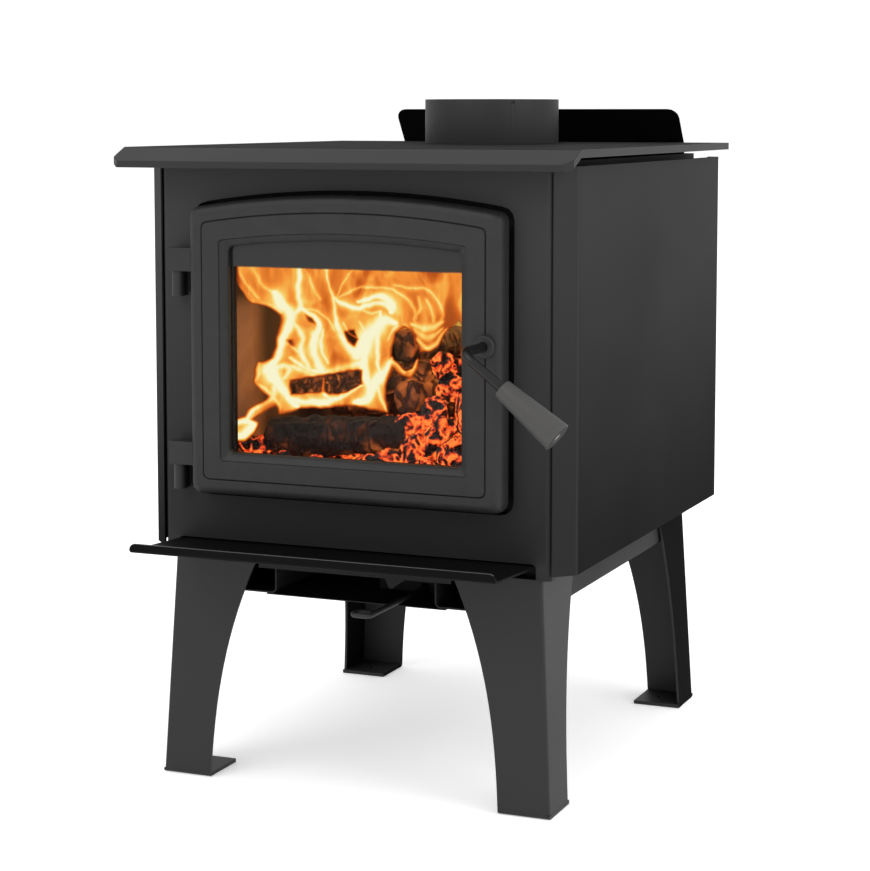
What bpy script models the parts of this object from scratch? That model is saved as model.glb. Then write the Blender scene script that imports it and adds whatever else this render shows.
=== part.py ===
"""Wood burning stove: plate-steel firebox on four splayed legs, glazed cast door, pull-out air control.

Metres, +Z up. The front faces -Y and +X is the viewer's right. The origin is on the floor, on the
stove's centre plane, midway between its foremost and rearmost points. Depths are first thought of
as distances behind the front plate's face, and depth() turns them into Y.
"""
import math

import bmesh
import bpy
from mathutils import Matrix, Vector

# ---------------------------------------------------------------- driving dimensions
GAP = 0.0003            # clearance between pieces that touch
STEEL_SHEET = 0.002     # shields and folded covers
STEEL_PLATE = 0.005     # firebox walls

BODY_HALF = 0.2394      # centre plane to a side shield's outer face
BODY_DEPTH = 0.533      # front plate's face to the side shields' rear edge
BODY_CHAMFER = 0.020    # 45 degree front corners of the side shields
SHIELD_GAP = 0.0259     # side shield's outer face to the firebox wall
SHIELD_SEAM = 0.0012    # front plate's edge to the chamfer strip
SHIELD_STANDOFF = 0.038 # rear shield's front face behind the side shields' rear edge

BOX_HALF = BODY_HALF - SHIELD_GAP
BOX_FRONT = 0.022       # depth of the firebox's front wall
BOX_REAR = BODY_DEPTH - 0.018
BOX_BOTTOM = 0.242
BODY_BOTTOM = BOX_BOTTOM + 0.0045

TOP_Z = 0.6715          # top face of the top plate
TOP_THICK = 0.008
TOP_OVERHANG = 0.0140
TOP_HALF = BODY_HALF + TOP_OVERHANG
TOP_REAR = BODY_DEPTH - 0.0074
BODY_TOP = TOP_Z - TOP_THICK - 0.0087
LIP_BEND = -0.017       # depth at which the top plate turns down
LIP_ANGLE = math.radians(24.0)
LIP_LENGTH = 0.0345
LIP_CHAMFER = 0.010

FLUE_DEPTH = 0.400      # depth of the flue's axis
FLUE_OUTER = 0.0785     # radius
FLUE_WALL = 0.003
FLUE_HEIGHT = 0.051     # collar above the top plate
FLUE_FLANGE = 0.014     # width of the collar's seat under the plate

PLATE_HALF = BODY_HALF - BODY_CHAMFER - SHIELD_SEAM
PLATE_THICK = 0.003
PLATE_FOLD = 0.016      # depth of the folded edges
PLATE_RADIUS = 0.006
PLATE_BOTTOM = BOX_BOTTOM - 0.0002
PLATE_TOP = TOP_Z - TOP_THICK - 0.0010

OPENING_HALF = 0.130    # door glass, seen size
OPENING_BOTTOM = 0.354
OPENING_CORNER = 0.569  # height of the arched top's springing
OPENING_RISE = 0.008
DOOR_OFFSET = 0.0445    # glass opening to the door's outer edge
MOUTH_OFFSET = 0.0145   # glass opening to the firebox's sealing rim, inside
MOUTH_RIM = 0.0035
RETAINER_OFFSET = MOUTH_OFFSET - 0.0006
RETAINER_SCREW = 0.0117
GLASS_OFFSET = 0.0090
RECESS_OFFSET = GLASS_OFFSET + 0.0005
DOOR_BACK = -0.0040     # depths of the door's faces
DOOR_FACE = -0.0260
GLASS_THICK = 0.005
SEAL_THICK = 0.0031

HINGE_PIN = 0.0035
HINGE_OUT = 0.0185      # hinge axis to the door's edge
HINGE_X = -OPENING_HALF - DOOR_OFFSET - HINGE_OUT
HINGE_DEPTH = -0.0120
LUG_HEIGHT = 0.0245
LUG_BACK = HINGE_PIN + 0.0025       # hinge axis to the lug's back
LUG_BOTTOMS = (OPENING_BOTTOM - 0.0155, OPENING_CORNER - 0.0265)
BARREL_WALL = 0.0030
BARREL_RADIUS = HINGE_PIN + BARREL_WALL
BARREL_HEIGHT = 0.0262

SHAFT_RADIUS = 0.0048
CAM_WALL = 0.0032       # metal round the shaft in the latch cam
LATCH_X = OPENING_HALF + MOUTH_OFFSET + MOUTH_RIM + CAM_WALL + SHAFT_RADIUS + 0.0010
LATCH_Z = 0.4775
HANDLE_REACH = 0.085    # shaft's bend in front of the front plate
HANDLE_ANGLE = math.radians(-38.2)
ARM_LENGTH = 0.052      # bend to the grip's near end
GRIP_LENGTH = 0.0732
GRIP_WALL = 0.0047
GRIP_SMALL = SHAFT_RADIUS + GAP + GRIP_WALL
GRIP_LARGE = 0.0162
GRIP_BORE_DEPTH = 0.020
BOSS_RADIUS = SHAFT_RADIUS + 0.0072
BOSS_THICK = 0.0045

LEDGE_HALF = PLATE_HALF - 0.0175
LEDGE_REACH = 0.1075
LEDGE_TOP = BOX_BOTTOM + 0.0145
LEDGE_THICK = 0.003
LEDGE_LIP = 0.0075      # upturned front edge above the ledge
LEDGE_RISE = 0.0050     # how much the ledge climbs from the front plate to its lip

LEG_TOP_X = BOX_HALF - 0.0057  # leg's outer corner at its top
LEG_SPLAY = 0.0128
LEG_FOOT_X = LEG_TOP_X + LEG_SPLAY
LEG_TOP_DEPTH = 0.0040
LEG_FOOT_DEPTH = -0.0060
LEG_REAR_DEPTH = BODY_DEPTH - 0.0310  # depth of a rear leg's outer corner at its top
LEG_THICK = 0.003
LEG_FOOT_WIDTH = 0.056  # width of each wing at the floor
LEG_FLARE = 0.042       # extra width of each wing at the top
LEG_FLARE_POWER = 2.5
FOOT_LENGTH = 0.060
FOOT_THICK = 0.004
FOOT_HOLE = 0.0045

CHANNEL_INNER = 0.0900  # air channels under the firebox
CHANNEL_TOP = BOX_BOTTOM - 0.0060
CHANNEL_BOTTOM = CHANNEL_TOP - 0.0330
CHANNEL_WALL = 0.002
CHANNEL_RADIUS = 0.006
APRON_SCREWS = (-0.045, -0.005, 0.0245)
APRON_SCREW_Z = CHANNEL_TOP + 0.0030

ROD_RADIUS = 0.0029     # air control
ROD_X = 0.0520
ROD_Z = CHANNEL_BOTTOM + 0.0012 + 0.0007 + ROD_RADIUS
ROD_FRONT = -0.0740     # depth of the loop's front run
LOOP_WIDTH = 0.0250
LOOP_LENGTH = 0.0200
AIRBOX_FRONT = 0.0730
AIRBOX_REAR = 0.2600
AIRBOX_LEFT = 0.0000
AIRBOX_RIGHT = CHANNEL_INNER - 0.0050

BRICK = 0.032           # refractory lining
LINING_TOP = 0.560
TUBE_RADIUS = 0.0110
TUBE_Z = LINING_TOP + TUBE_RADIUS + 0.0080
TUBE_DEPTHS = (0.135, 0.330)
MANIFOLD_WIDTH = 0.030
BAFFLE_THICK = 0.018
BLANKET_THICK = 0.012
BAFFLE_FRONT = 0.070
BAFFLE_REAR = BOX_REAR - 0.0850

REAR_FACE = BODY_DEPTH + SHIELD_STANDOFF + STEEL_SHEET
FOREMOST = max(HANDLE_REACH + GRIP_LARGE, LEDGE_REACH)
FRONT_Y = (FOREMOST - REAR_FACE) / 2


def depth(distance):
    """Y of a point that lies distance behind the front plate's face."""
    return FRONT_Y + distance


# ---------------------------------------------------------------- clean slate and materials
for old in list(bpy.data.objects):
    bpy.data.objects.remove(old, do_unlink=True)


def material(name, colour, roughness, metallic=0.0, alpha=1.0):
    mat = bpy.data.materials.new(name)
    mat.use_nodes = True
    shader = mat.node_tree.nodes["Principled BSDF"]
    shader.inputs["Base Color"].default_value = (*colour, 1.0)
    shader.inputs["Roughness"].default_value = roughness
    shader.inputs["Metallic"].default_value = metallic
    shader.inputs["Alpha"].default_value = alpha
    return mat


STOVE_PAINT = material("stove_paint", (0.048, 0.048, 0.047), 0.62)
DEFLECTOR_PAINT = material("deflector_paint", (0.010, 0.010, 0.010), 0.75)
CAST_IRON = material("cast_iron", (0.050, 0.050, 0.049), 0.60, 0.1)
BARE_STEEL = material("bare_steel", (0.30, 0.29, 0.28), 0.40, 0.9)
GRIP_COAT = material("grip_coating", (0.095, 0.092, 0.088), 0.55)
CERAMIC_GLASS = material("ceramic_glass", (0.45, 0.42, 0.38), 0.05, 0.0, 0.25)
GLASS_TAPE = material("woven_tape", (0.62, 0.60, 0.55), 0.9)
ROPE_SEAL = material("rope_seal", (0.10, 0.10, 0.10), 0.95)
FIREBRICK = material("firebrick", (0.62, 0.47, 0.30), 0.9)
BAFFLE_BOARD = material("baffle_board", (0.66, 0.60, 0.48), 0.9)
CERAMIC_WOOL = material("ceramic_wool", (0.85, 0.84, 0.80), 1.0)
TUBE_STEEL = material("tube_steel", (0.32, 0.27, 0.23), 0.5, 0.8)


# ---------------------------------------------------------------- modelling helpers
def place(name, bm, mat, smooth=False):
    """Turns a bmesh into a named object with its normals outwards."""
    bmesh.ops.remove_doubles(bm, verts=bm.verts, dist=1e-7)
    bmesh.ops.recalc_face_normals(bm, faces=bm.faces)
    mesh = bpy.data.meshes.new(name)
    bm.to_mesh(mesh)
    bm.free()
    if smooth:
        mesh.shade_smooth()
        mesh.set_sharp_from_angle(angle=math.radians(35))
    obj = bpy.data.objects.new(name, mesh)
    bpy.context.scene.collection.objects.link(obj)
    mesh.materials.append(mat)
    return obj


def cutter(name, bm):
    """A hidden solid that another piece is cut or joined with."""
    obj = place(name, bm, STOVE_PAINT)
    obj.hide_render = True
    obj.display_type = "WIRE"
    return obj


def boolean(obj, other, operation="DIFFERENCE"):
    mod = obj.modifiers.new(other.name, "BOOLEAN")
    mod.operation = operation
    mod.solver = "EXACT"
    mod.object = other


def box_mesh(low, high, bm=None):
    """Axis-aligned box between two corners, given in world coordinates."""
    bm = bm or bmesh.new()
    low, high = Vector(low), Vector(high)
    size = high - low
    move = Matrix.Translation((low + high) / 2) @ Matrix.Diagonal((*size, 1.0))
    bmesh.ops.create_cube(bm, size=1.0, matrix=move)
    return bm


def prism(outline, direction):
    """Extrudes a closed list of 3D points along a vector."""
    bm = bmesh.new()
    face = bm.faces.new([bm.verts.new(p) for p in outline])
    grown = bmesh.ops.extrude_face_region(bm, geom=[face])
    verts = [g for g in grown["geom"] if isinstance(g, bmesh.types.BMVert)]
    bmesh.ops.translate(bm, verts=verts, vec=direction)
    return bm


def cylinder_mesh(start, end, radius, sides=16, radius_end=None):
    """Cylinder or cone between two points."""
    start, end = Vector(start), Vector(end)
    axis = end - start
    turn = axis.to_track_quat("Z", "Y").to_matrix().to_4x4()
    bm = bmesh.new()
    bmesh.ops.create_cone(
        bm,
        cap_ends=True,
        segments=sides,
        radius1=radius,
        radius2=radius if radius_end is None else radius_end,
        depth=axis.length,
        matrix=Matrix.Translation((start + end) / 2) @ turn,
    )
    return bm


def lathe(profile, steps):
    """Turns a profile of (radius, height) points about the Z axis; a profile off the axis is closed."""
    bm = bmesh.new()
    verts = [bm.verts.new((r, 0.0, z)) for r, z in profile]
    edges = [bm.edges.new(pair) for pair in zip(verts, verts[1:])]
    if profile[0][0] > 0.0:
        edges.append(bm.edges.new((verts[-1], verts[0])))
    bmesh.ops.spin(
        bm, geom=verts + edges, cent=(0, 0, 0), axis=(0, 0, 1), angle=math.tau, steps=steps
    )
    bmesh.ops.remove_doubles(bm, verts=bm.verts, dist=1e-6)
    return bm


def arc(cx, cy, radius, start_deg, end_deg, steps):
    """Points of an arc, ends included."""
    span = end_deg - start_deg
    return [
        (
            cx + radius * math.cos(math.radians(start_deg + span * i / steps)),
            cy + radius * math.sin(math.radians(start_deg + span * i / steps)),
        )
        for i in range(steps + 1)
    ]


def rounded_rectangle(x0, x1, z0, z1, radius, steps=3):
    return (
        arc(x1 - radius, z0 + radius, radius, -90, 0, steps)
        + arc(x1 - radius, z1 - radius, radius, 0, 90, steps)
        + arc(x0 + radius, z1 - radius, radius, 90, 180, steps)
        + arc(x0 + radius, z0 + radius, radius, 180, 270, steps)
    )


def sheet_section(path, thickness):
    """Closed outline of a bent sheet: a polyline and its offset to the left, mitred at the bends."""
    points = [Vector(p) for p in path]
    inner = []
    for i, p in enumerate(points):
        before = (p - points[i - 1]).normalized() if i else None
        after = (points[i + 1] - p).normalized() if i + 1 < len(points) else None
        before, after = before or after, after or before
        normal = Vector((-(before + after).y, (before + after).x)).normalized()
        reach = thickness / max(normal.dot(Vector((-before.y, before.x))), 0.3)
        inner.append(p + normal * reach)
    return [tuple(p) for p in points] + [tuple(p) for p in reversed(inner)]


def door_outline(offset, radius, steps=3, arch_steps=16):
    """Arched outline parallel to the glass opening, as (x, z), the same number of points each time."""
    half = OPENING_HALF + offset
    bottom = OPENING_BOTTOM - offset
    corner = OPENING_CORNER + 0.9 * offset
    rise = OPENING_RISE + 0.157 * offset
    arch_radius = (half * half + rise * rise) / (2 * rise)
    centre_z = corner + rise - arch_radius
    lean = math.degrees(math.asin((half - radius) / arch_radius))
    points = arc(half - radius, bottom + radius, radius, -90, 0, steps)
    shoulder = centre_z + arch_radius * math.cos(math.radians(lean))
    points += arc(half - radius, shoulder - radius, radius, 0, 90 - lean, steps)[:-1]
    points += arc(0.0, centre_z, arch_radius, 90 - lean, 90 + lean, arch_steps)
    points += arc(radius - half, shoulder - radius, radius, 90 + lean, 180, steps)[1:]
    points += arc(radius - half, bottom + radius, radius, 180, 270, steps)
    return points


def door_ring(rings):
    """Solid ring lofted through closed outlines, each given as (offset, corner radius, depth)."""
    bm = bmesh.new()
    loops = []
    for offset, radius, distance in rings:
        outline = door_outline(offset, radius)
        loops.append([bm.verts.new((x, depth(distance), z)) for x, z in outline])
    for here, there in zip(loops, loops[1:] + loops[:1]):
        count = len(here)
        for i in range(count):
            j = (i + 1) % count
            bm.faces.new((here[i], here[j], there[j], there[i]))
    return bm


def door_slab(offset, radius, front, back):
    """Solid plate with the door's arched outline between two depths."""
    outline = [(x, depth(front), z) for x, z in door_outline(offset, radius)]
    return prism(outline, (0, back - front, 0))


# ---------------------------------------------------------------- top plate and flue
def top_plate():
    """Heavy plate whose front edge is bent down and whose front corners are clipped."""
    down = Vector((-math.cos(LIP_ANGLE), -math.sin(LIP_ANGLE)))
    tip = Vector((LIP_BEND, TOP_Z)) + down * LIP_LENGTH
    section = sheet_section([(TOP_REAR, TOP_Z), (LIP_BEND, TOP_Z), tuple(tip)], TOP_THICK)
    bm = prism([(-TOP_HALF, depth(d), z) for d, z in section], (2 * TOP_HALF, 0, 0))
    for side in (-1, 1):
        clip = (side * (TOP_HALF - LIP_CHAMFER), depth(tip.x), 0)
        cut = bmesh.ops.bisect_plane(
            bm,
            geom=bm.verts[:] + bm.edges[:] + bm.faces[:],
            plane_co=clip,
            plane_no=(side, -1, 0),
            clear_outer=True,
        )
        rim = [g for g in cut["geom_cut"] if isinstance(g, bmesh.types.BMEdge)]
        bmesh.ops.holes_fill(bm, edges=rim, sides=0)
    plate = place("top_plate", bm, STOVE_PAINT)
    hole = cylinder_mesh(
        (0, depth(FLUE_DEPTH), TOP_Z - 0.02), (0, depth(FLUE_DEPTH), TOP_Z + 0.02),
        FLUE_OUTER + GAP, 48,
    )
    boolean(plate, cutter("flue_hole", hole))


def flue_collar():
    """Turned ring that stands through the top plate on a seat below it, with three pipe screw holes."""
    seat = TOP_Z - TOP_THICK - GAP
    profile = [
        (FLUE_OUTER - FLUE_WALL, seat - 0.004),
        (FLUE_OUTER + FLUE_FLANGE, seat - 0.004),
        (FLUE_OUTER + FLUE_FLANGE, seat),
        (FLUE_OUTER, seat),
        (FLUE_OUTER, TOP_Z + FLUE_HEIGHT - 0.0008),
        (FLUE_OUTER - 0.0008, TOP_Z + FLUE_HEIGHT),
        (FLUE_OUTER - FLUE_WALL + 0.0008, TOP_Z + FLUE_HEIGHT),
        (FLUE_OUTER - FLUE_WALL, TOP_Z + FLUE_HEIGHT - 0.0008),
    ]
    bm = lathe(profile, 48)
    bmesh.ops.translate(bm, verts=bm.verts, vec=(0, depth(FLUE_DEPTH), 0))
    collar = place("flue_collar", bm, STOVE_PAINT, smooth=True)
    height = TOP_Z + FLUE_HEIGHT - 0.0055
    for index, angle in enumerate((-51, 69, 189)):
        way = Vector((math.cos(math.radians(angle)), math.sin(math.radians(angle)), 0))
        middle = Vector((0, depth(FLUE_DEPTH), height)) + way * FLUE_OUTER
        hole = cylinder_mesh(middle - way * 0.01, middle + way * 0.01, 0.0018, 10)
        boolean(collar, cutter(f"pipe_screw_hole_{index}", hole))


# ---------------------------------------------------------------- firebox and front plate
def firebox_shell():
    """Welded plate box, open at the top where the top plate closes it, with the door's sealing rim."""
    top = TOP_Z - TOP_THICK - 0.0045
    shell = place(
        "firebox_shell",
        box_mesh((-BOX_HALF, depth(BOX_FRONT), BOX_BOTTOM), (BOX_HALF, depth(BOX_REAR), top)),
        STOVE_PAINT,
    )
    inside = box_mesh(
        (-BOX_HALF + STEEL_PLATE, depth(BOX_FRONT + STEEL_PLATE), BOX_BOTTOM + STEEL_PLATE),
        (BOX_HALF - STEEL_PLATE, depth(BOX_REAR - STEEL_PLATE), top + 0.02),
    )
    boolean(shell, cutter("firebox_inside", inside))
    rim = door_slab(MOUTH_OFFSET + MOUTH_RIM, 0.016, -GAP, BOX_FRONT + 0.002)
    boolean(shell, cutter("mouth_rim", rim), "UNION")
    mouth = door_slab(MOUTH_OFFSET, 0.012, -0.01, BOX_FRONT + 0.02)
    boolean(shell, cutter("mouth", mouth))
    inlet = box_mesh(
        (AIRBOX_LEFT + 0.014, depth(0.150), BOX_BOTTOM - 0.01),
        (AIRBOX_RIGHT - 0.014, depth(0.190), BOX_BOTTOM + 0.01),
    )
    boolean(shell, cutter("air_inlet", inlet))


def front_plate():
    """Cover sheet with rolled vertical edges, cut out for the door, its hinges and the ledge."""
    r, half = PLATE_RADIUS, PLATE_HALF
    left = arc(-half + r, r, r, 180, 270, 5)
    right = arc(half - r, r, r, 270, 360, 5)
    path = [(-half, PLATE_FOLD)] + left + right + [(half, PLATE_FOLD)]
    section = sheet_section(path, PLATE_THICK)
    bm = prism([(x, depth(d), PLATE_BOTTOM) for x, d in section], (0, 0, PLATE_TOP - PLATE_BOTTOM))
    plate = place("front_plate", bm, STOVE_PAINT, smooth=True)
    through = (-0.02, 0.012)
    hole = door_slab(DOOR_OFFSET + 0.0040, 0.014, *through)
    boolean(plate, cutter("mouth_hole", hole))
    room = LEDGE_HALF + 0.0018
    cut = rounded_rectangle(-room, room, PLATE_BOTTOM - 0.02, LEDGE_TOP + 0.0015, 0.005)
    ledge = prism([(x, depth(through[0]), z) for x, z in cut], (0, through[1] - through[0], 0))
    boolean(plate, cutter("ledge_cutout", ledge))
    for index, bottom in enumerate(LUG_BOTTOMS):
        pocket = box_mesh(
            (HINGE_X + BARREL_RADIUS + 0.0008, depth(through[0]), bottom - BARREL_HEIGHT + 0.004),
            (-OPENING_HALF - DOOR_OFFSET - 0.0025, depth(through[1]), bottom - 0.0006),
        )
        boolean(plate, cutter(f"hinge_pocket_{index}", pocket))


# ---------------------------------------------------------------- shields
def side_shield(name, side):
    """Sheet with a 45 degree front corner and a folded rear edge, held off the firebox."""
    inner = BODY_HALF - BODY_CHAMFER
    path = [
        (inner, 0.0),
        (BODY_HALF - 0.0015, BODY_CHAMFER - 0.0015),
        (BODY_HALF, BODY_CHAMFER + 0.0020),
        (BODY_HALF, BODY_DEPTH - 0.002),
        (BODY_HALF - 0.002, BODY_DEPTH),
        (BODY_HALF - 0.014, BODY_DEPTH),
    ]
    section = sheet_section(path, STEEL_SHEET)
    outline = [(side * x, depth(d), BODY_BOTTOM) for x, d in section]
    place(name, prism(outline, (0, 0, BODY_TOP - BODY_BOTTOM)), STOVE_PAINT)


def shield_spacer(name, side, distance, height):
    """Turned standoff between the firebox wall and a side shield."""
    start = (side * (BOX_HALF + GAP), depth(distance), height)
    end = (side * (BODY_HALF - STEEL_SHEET - GAP), depth(distance), height)
    place(name, cylinder_mesh(start, end, 0.008, 12), BARE_STEEL, smooth=True)


def rear_shield():
    """Sheet behind the stove whose top leans forward as a heat deflector, with rounded top corners."""
    half, front = 0.185, BODY_DEPTH + SHIELD_STANDOFF
    lean_start, lean_top, lean = TOP_Z - 0.004, TOP_Z + 0.0390, 0.0300
    path = [(front, 0.290), (front, lean_start), (front - lean, lean_top)]
    section = sheet_section(list(reversed(path)), STEEL_SHEET)
    bm = prism([(-half, depth(d), z) for d, z in section], (2 * half, 0, 0))
    corners = []
    for edge in bm.edges:
        a, b = (v.co for v in edge.verts)
        at_top = min(a.z, b.z) > lean_top - 0.003
        if at_top and abs(a.x - b.x) < 1e-6:
            corners.append(edge)
    bmesh.ops.bevel(bm, geom=corners, offset=0.013, segments=4, profile=0.5, affect="EDGES")
    place("rear_shield", bm, DEFLECTOR_PAINT)


def rear_spacer(name, x, height):
    start = (x, depth(BOX_REAR + GAP), height)
    end = (x, depth(BODY_DEPTH + SHIELD_STANDOFF - GAP), height)
    place(name, cylinder_mesh(start, end, 0.008, 12), BARE_STEEL, smooth=True)


# ---------------------------------------------------------------- under the firebox
def air_channel(name, side):
    """Folded rectangular duct, open at both ends, that the legs stand against."""
    outer, front, rear = LEG_TOP_X - LEG_THICK - GAP, leg_inside(False), leg_inside(True)
    span = sorted((side * CHANNEL_INNER, side * outer))
    skin = rounded_rectangle(*span, CHANNEL_BOTTOM, CHANNEL_TOP, CHANNEL_RADIUS)
    w = CHANNEL_WALL
    hollow = rounded_rectangle(
        span[0] + w, span[1] - w, CHANNEL_BOTTOM + w, CHANNEL_TOP - w, CHANNEL_RADIUS - w
    )
    duct = place(name, prism([(x, front, z) for x, z in skin], (0, rear - front, 0)), STOVE_PAINT)
    inside = prism([(x, front - 0.01, z) for x, z in hollow], (0, rear - front + 0.02, 0))
    boolean(duct, cutter(f"{name}_inside", inside))
    for rear_leg in (False, True):
        boolean(duct, cutter(f"{name}_bolt_hole_{int(rear_leg)}", bolt_hole(side, rear_leg)))


def leg_inside(rear_leg):
    """Y of the free space just inside a front or rear leg's cross wing."""
    if rear_leg:
        return depth(LEG_REAR_DEPTH - LEG_THICK - GAP)
    return depth(LEG_TOP_DEPTH + LEG_THICK + GAP)


def bolt_place(side, rear_leg):
    inward = -0.030 if rear_leg else 0.030
    start = LEG_REAR_DEPTH if rear_leg else LEG_TOP_DEPTH
    return side * (LEG_TOP_X - 0.028), depth(start + inward)


def bolt_hole(side, rear_leg):
    x, y = bolt_place(side, rear_leg)
    return cylinder_mesh((x, y, CHANNEL_TOP - 0.01), (x, y, BOX_BOTTOM + 0.001), 0.0044, 12)


def leg(name, side, rear_leg):
    """Angle leg: two wings that widen upwards, a foot folded inwards and a bolting tab at the top."""
    forward = 1 if rear_leg else -1
    top_y = depth(LEG_REAR_DEPTH if rear_leg else LEG_TOP_DEPTH)
    splay_y = forward * (LEG_TOP_DEPTH - LEG_FOOT_DEPTH)
    top_z = BOX_BOTTOM - GAP
    rows = 17
    bm = bmesh.new()
    loops = []
    for row in range(rows):
        z = 0.002 + (top_z - 0.002) * row / (rows - 1)
        up = z / top_z
        cx = LEG_FOOT_X + (LEG_TOP_X - LEG_FOOT_X) * up
        cy = splay_y * (1 - up)
        width = LEG_FOOT_WIDTH + LEG_FLARE * up**LEG_FLARE_POWER
        bend = 0.004
        outer = arc(cx - bend, -bend, bend, 0, 90, 3)
        inner = arc(cx - bend, -bend, bend - LEG_THICK + 0.0005, 90, 0, 3)
        section = [(cx, -width)] + outer + [(cx - width, 0.0)]
        section += [(cx - width, -LEG_THICK)]
        section += [(px, py - LEG_THICK + 0.003) for px, py in inner]
        section += [(cx - LEG_THICK, -width)]
        loops.append(
            [bm.verts.new((side * px, top_y + cy + forward * py, z)) for px, py in section]
        )
    for here, there in zip(loops, loops[1:]):
        count = len(here)
        for i in range(count):
            j = (i + 1) % count
            bm.faces.new((here[i], here[j], there[j], there[i]))
    bm.faces.new(loops[0])
    bm.faces.new(loops[-1])
    obj = place(name, bm, STOVE_PAINT)
    foot_y = top_y + splay_y
    inward = -forward * FOOT_LENGTH
    y0, y1 = sorted((foot_y, foot_y + inward))
    x0, x1 = sorted((side * LEG_FOOT_X, side * (LEG_FOOT_X - LEG_FOOT_WIDTH)))
    foot = box_mesh((x0, y0, 0.0), (x1, y1, FOOT_THICK))
    edges = [
        e for e in foot.edges
        if all(abs(v.co.y - foot_y) < 1e-6 and v.co.z < 1e-6 for v in e.verts)
    ]
    bmesh.ops.bevel(foot, geom=edges, offset=0.0032, segments=3, profile=0.5, affect="EDGES")
    boolean(obj, cutter(f"{name}_foot", foot), "UNION")
    hx, hy = side * (LEG_FOOT_X - 0.030), foot_y + 0.55 * inward
    hole = cylinder_mesh((hx, hy, -0.01), (hx, hy, 0.02), FOOT_HOLE, 12)
    boolean(obj, cutter(f"{name}_foot_hole", hole))
    tx0, tx1 = sorted((side * (LEG_TOP_X - 0.0015), side * (LEG_TOP_X - 0.050)))
    ty0, ty1 = sorted((top_y - forward * 0.0015, top_y - forward * 0.055))
    tab = box_mesh((tx0, ty0, top_z - LEG_THICK), (tx1, ty1, top_z))
    boolean(obj, cutter(f"{name}_tab", tab), "UNION")
    boolean(obj, cutter(f"{name}_bolt_hole", bolt_hole(side, rear_leg)))


def leg_bolt(name, side, rear_leg):
    """Hexagon bolt from inside the air channel up through the leg's tab."""
    x, y = bolt_place(side, rear_leg)
    head_top = CHANNEL_TOP - CHANNEL_WALL - GAP
    head = cylinder_mesh((x, y, head_top - 0.0055), (x, y, head_top), 0.0075, 6)
    bolt = place(name, head, BARE_STEEL)
    shank = cylinder_mesh((x, y, head_top - 0.002), (x, y, BOX_BOTTOM - GAP), 0.0040, 12)
    boolean(bolt, cutter(f"{name}_shank", shank), "UNION")


def bottom_pan():
    """Sheet across the undersides of the air channels that shields the floor."""
    edge = CHANNEL_INNER + 0.0120
    pan = box_mesh(
        (-edge, leg_inside(False), CHANNEL_BOTTOM - 0.0015),
        (edge, leg_inside(True), CHANNEL_BOTTOM - GAP),
    )
    place("bottom_pan", pan, DEFLECTOR_PAINT)


def front_apron():
    """Strip between the front legs under the ledge, with a tab that keeps the air rod in line."""
    inner = LEG_TOP_X - LEG_FOOT_WIDTH - LEG_FLARE - GAP
    front, back = depth(LEG_TOP_DEPTH), depth(LEG_TOP_DEPTH + 0.0025)
    low, high = CHANNEL_TOP - 0.0060, LEDGE_TOP - LEDGE_THICK - GAP
    outline = [
        (-inner, low), (0.036, low), (0.040, low - 0.0095), (0.044, low - 0.0100), (0.058, low),
        (inner, low), (inner, high), (-inner, high),
    ]
    strip = place("front_apron", prism([(x, front, z) for x, z in outline], (0, back - front, 0)),
                  STOVE_PAINT)
    for index, x in enumerate(APRON_SCREWS):
        hole = cylinder_mesh((x, front - 0.01, APRON_SCREW_Z), (x, back + 0.01, APRON_SCREW_Z),
                             0.0022, 10)
        boolean(strip, cutter(f"apron_screw_hole_{index}", hole))


def apron_screw(name, x):
    """Pan-head screw through the apron."""
    front = depth(LEG_TOP_DEPTH)
    head = cylinder_mesh((x, front - 0.0022, APRON_SCREW_Z), (x, front - GAP, APRON_SCREW_Z),
                         0.0026, 12, 0.0038)
    screw = place(name, head, BARE_STEEL)
    shank = cylinder_mesh((x, front - 0.0010, APRON_SCREW_Z), (x, front + 0.010, APRON_SCREW_Z),
                          0.0018, 10)
    boolean(screw, cutter(f"{name}_shank", shank), "UNION")


def ash_ledge():
    """Shelf below the door, one folded sheet with a low upturned lip."""
    t, reach, top = LEDGE_THICK, LEDGE_REACH, LEDGE_TOP + LEDGE_RISE
    back = BOX_FRONT - GAP
    outline = [
        (back, LEDGE_TOP - t), (0.0, LEDGE_TOP - t), (1.8 * t - reach, top - t),
        (0.6 * t - reach, top - 0.7 * t), (-reach, top), (-reach, top + LEDGE_LIP),
        (t - reach, top + LEDGE_LIP), (t - reach, top + 0.4 * t), (1.5 * t - reach, top),
        (0.0, LEDGE_TOP), (back, LEDGE_TOP),
    ]
    bm = prism([(-LEDGE_HALF, depth(d), z) for d, z in outline], (2 * LEDGE_HALF, 0, 0))
    corners = [
        e for e in bm.edges
        if all(v.co.z > top + 0.9 * LEDGE_LIP for v in e.verts)
        and abs(e.verts[0].co.x - e.verts[1].co.x) < 1e-6
    ]
    bmesh.ops.bevel(bm, geom=corners, offset=0.0065, segments=4, profile=0.5, affect="EDGES")
    place("ash_ledge", bm, STOVE_PAINT)


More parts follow.
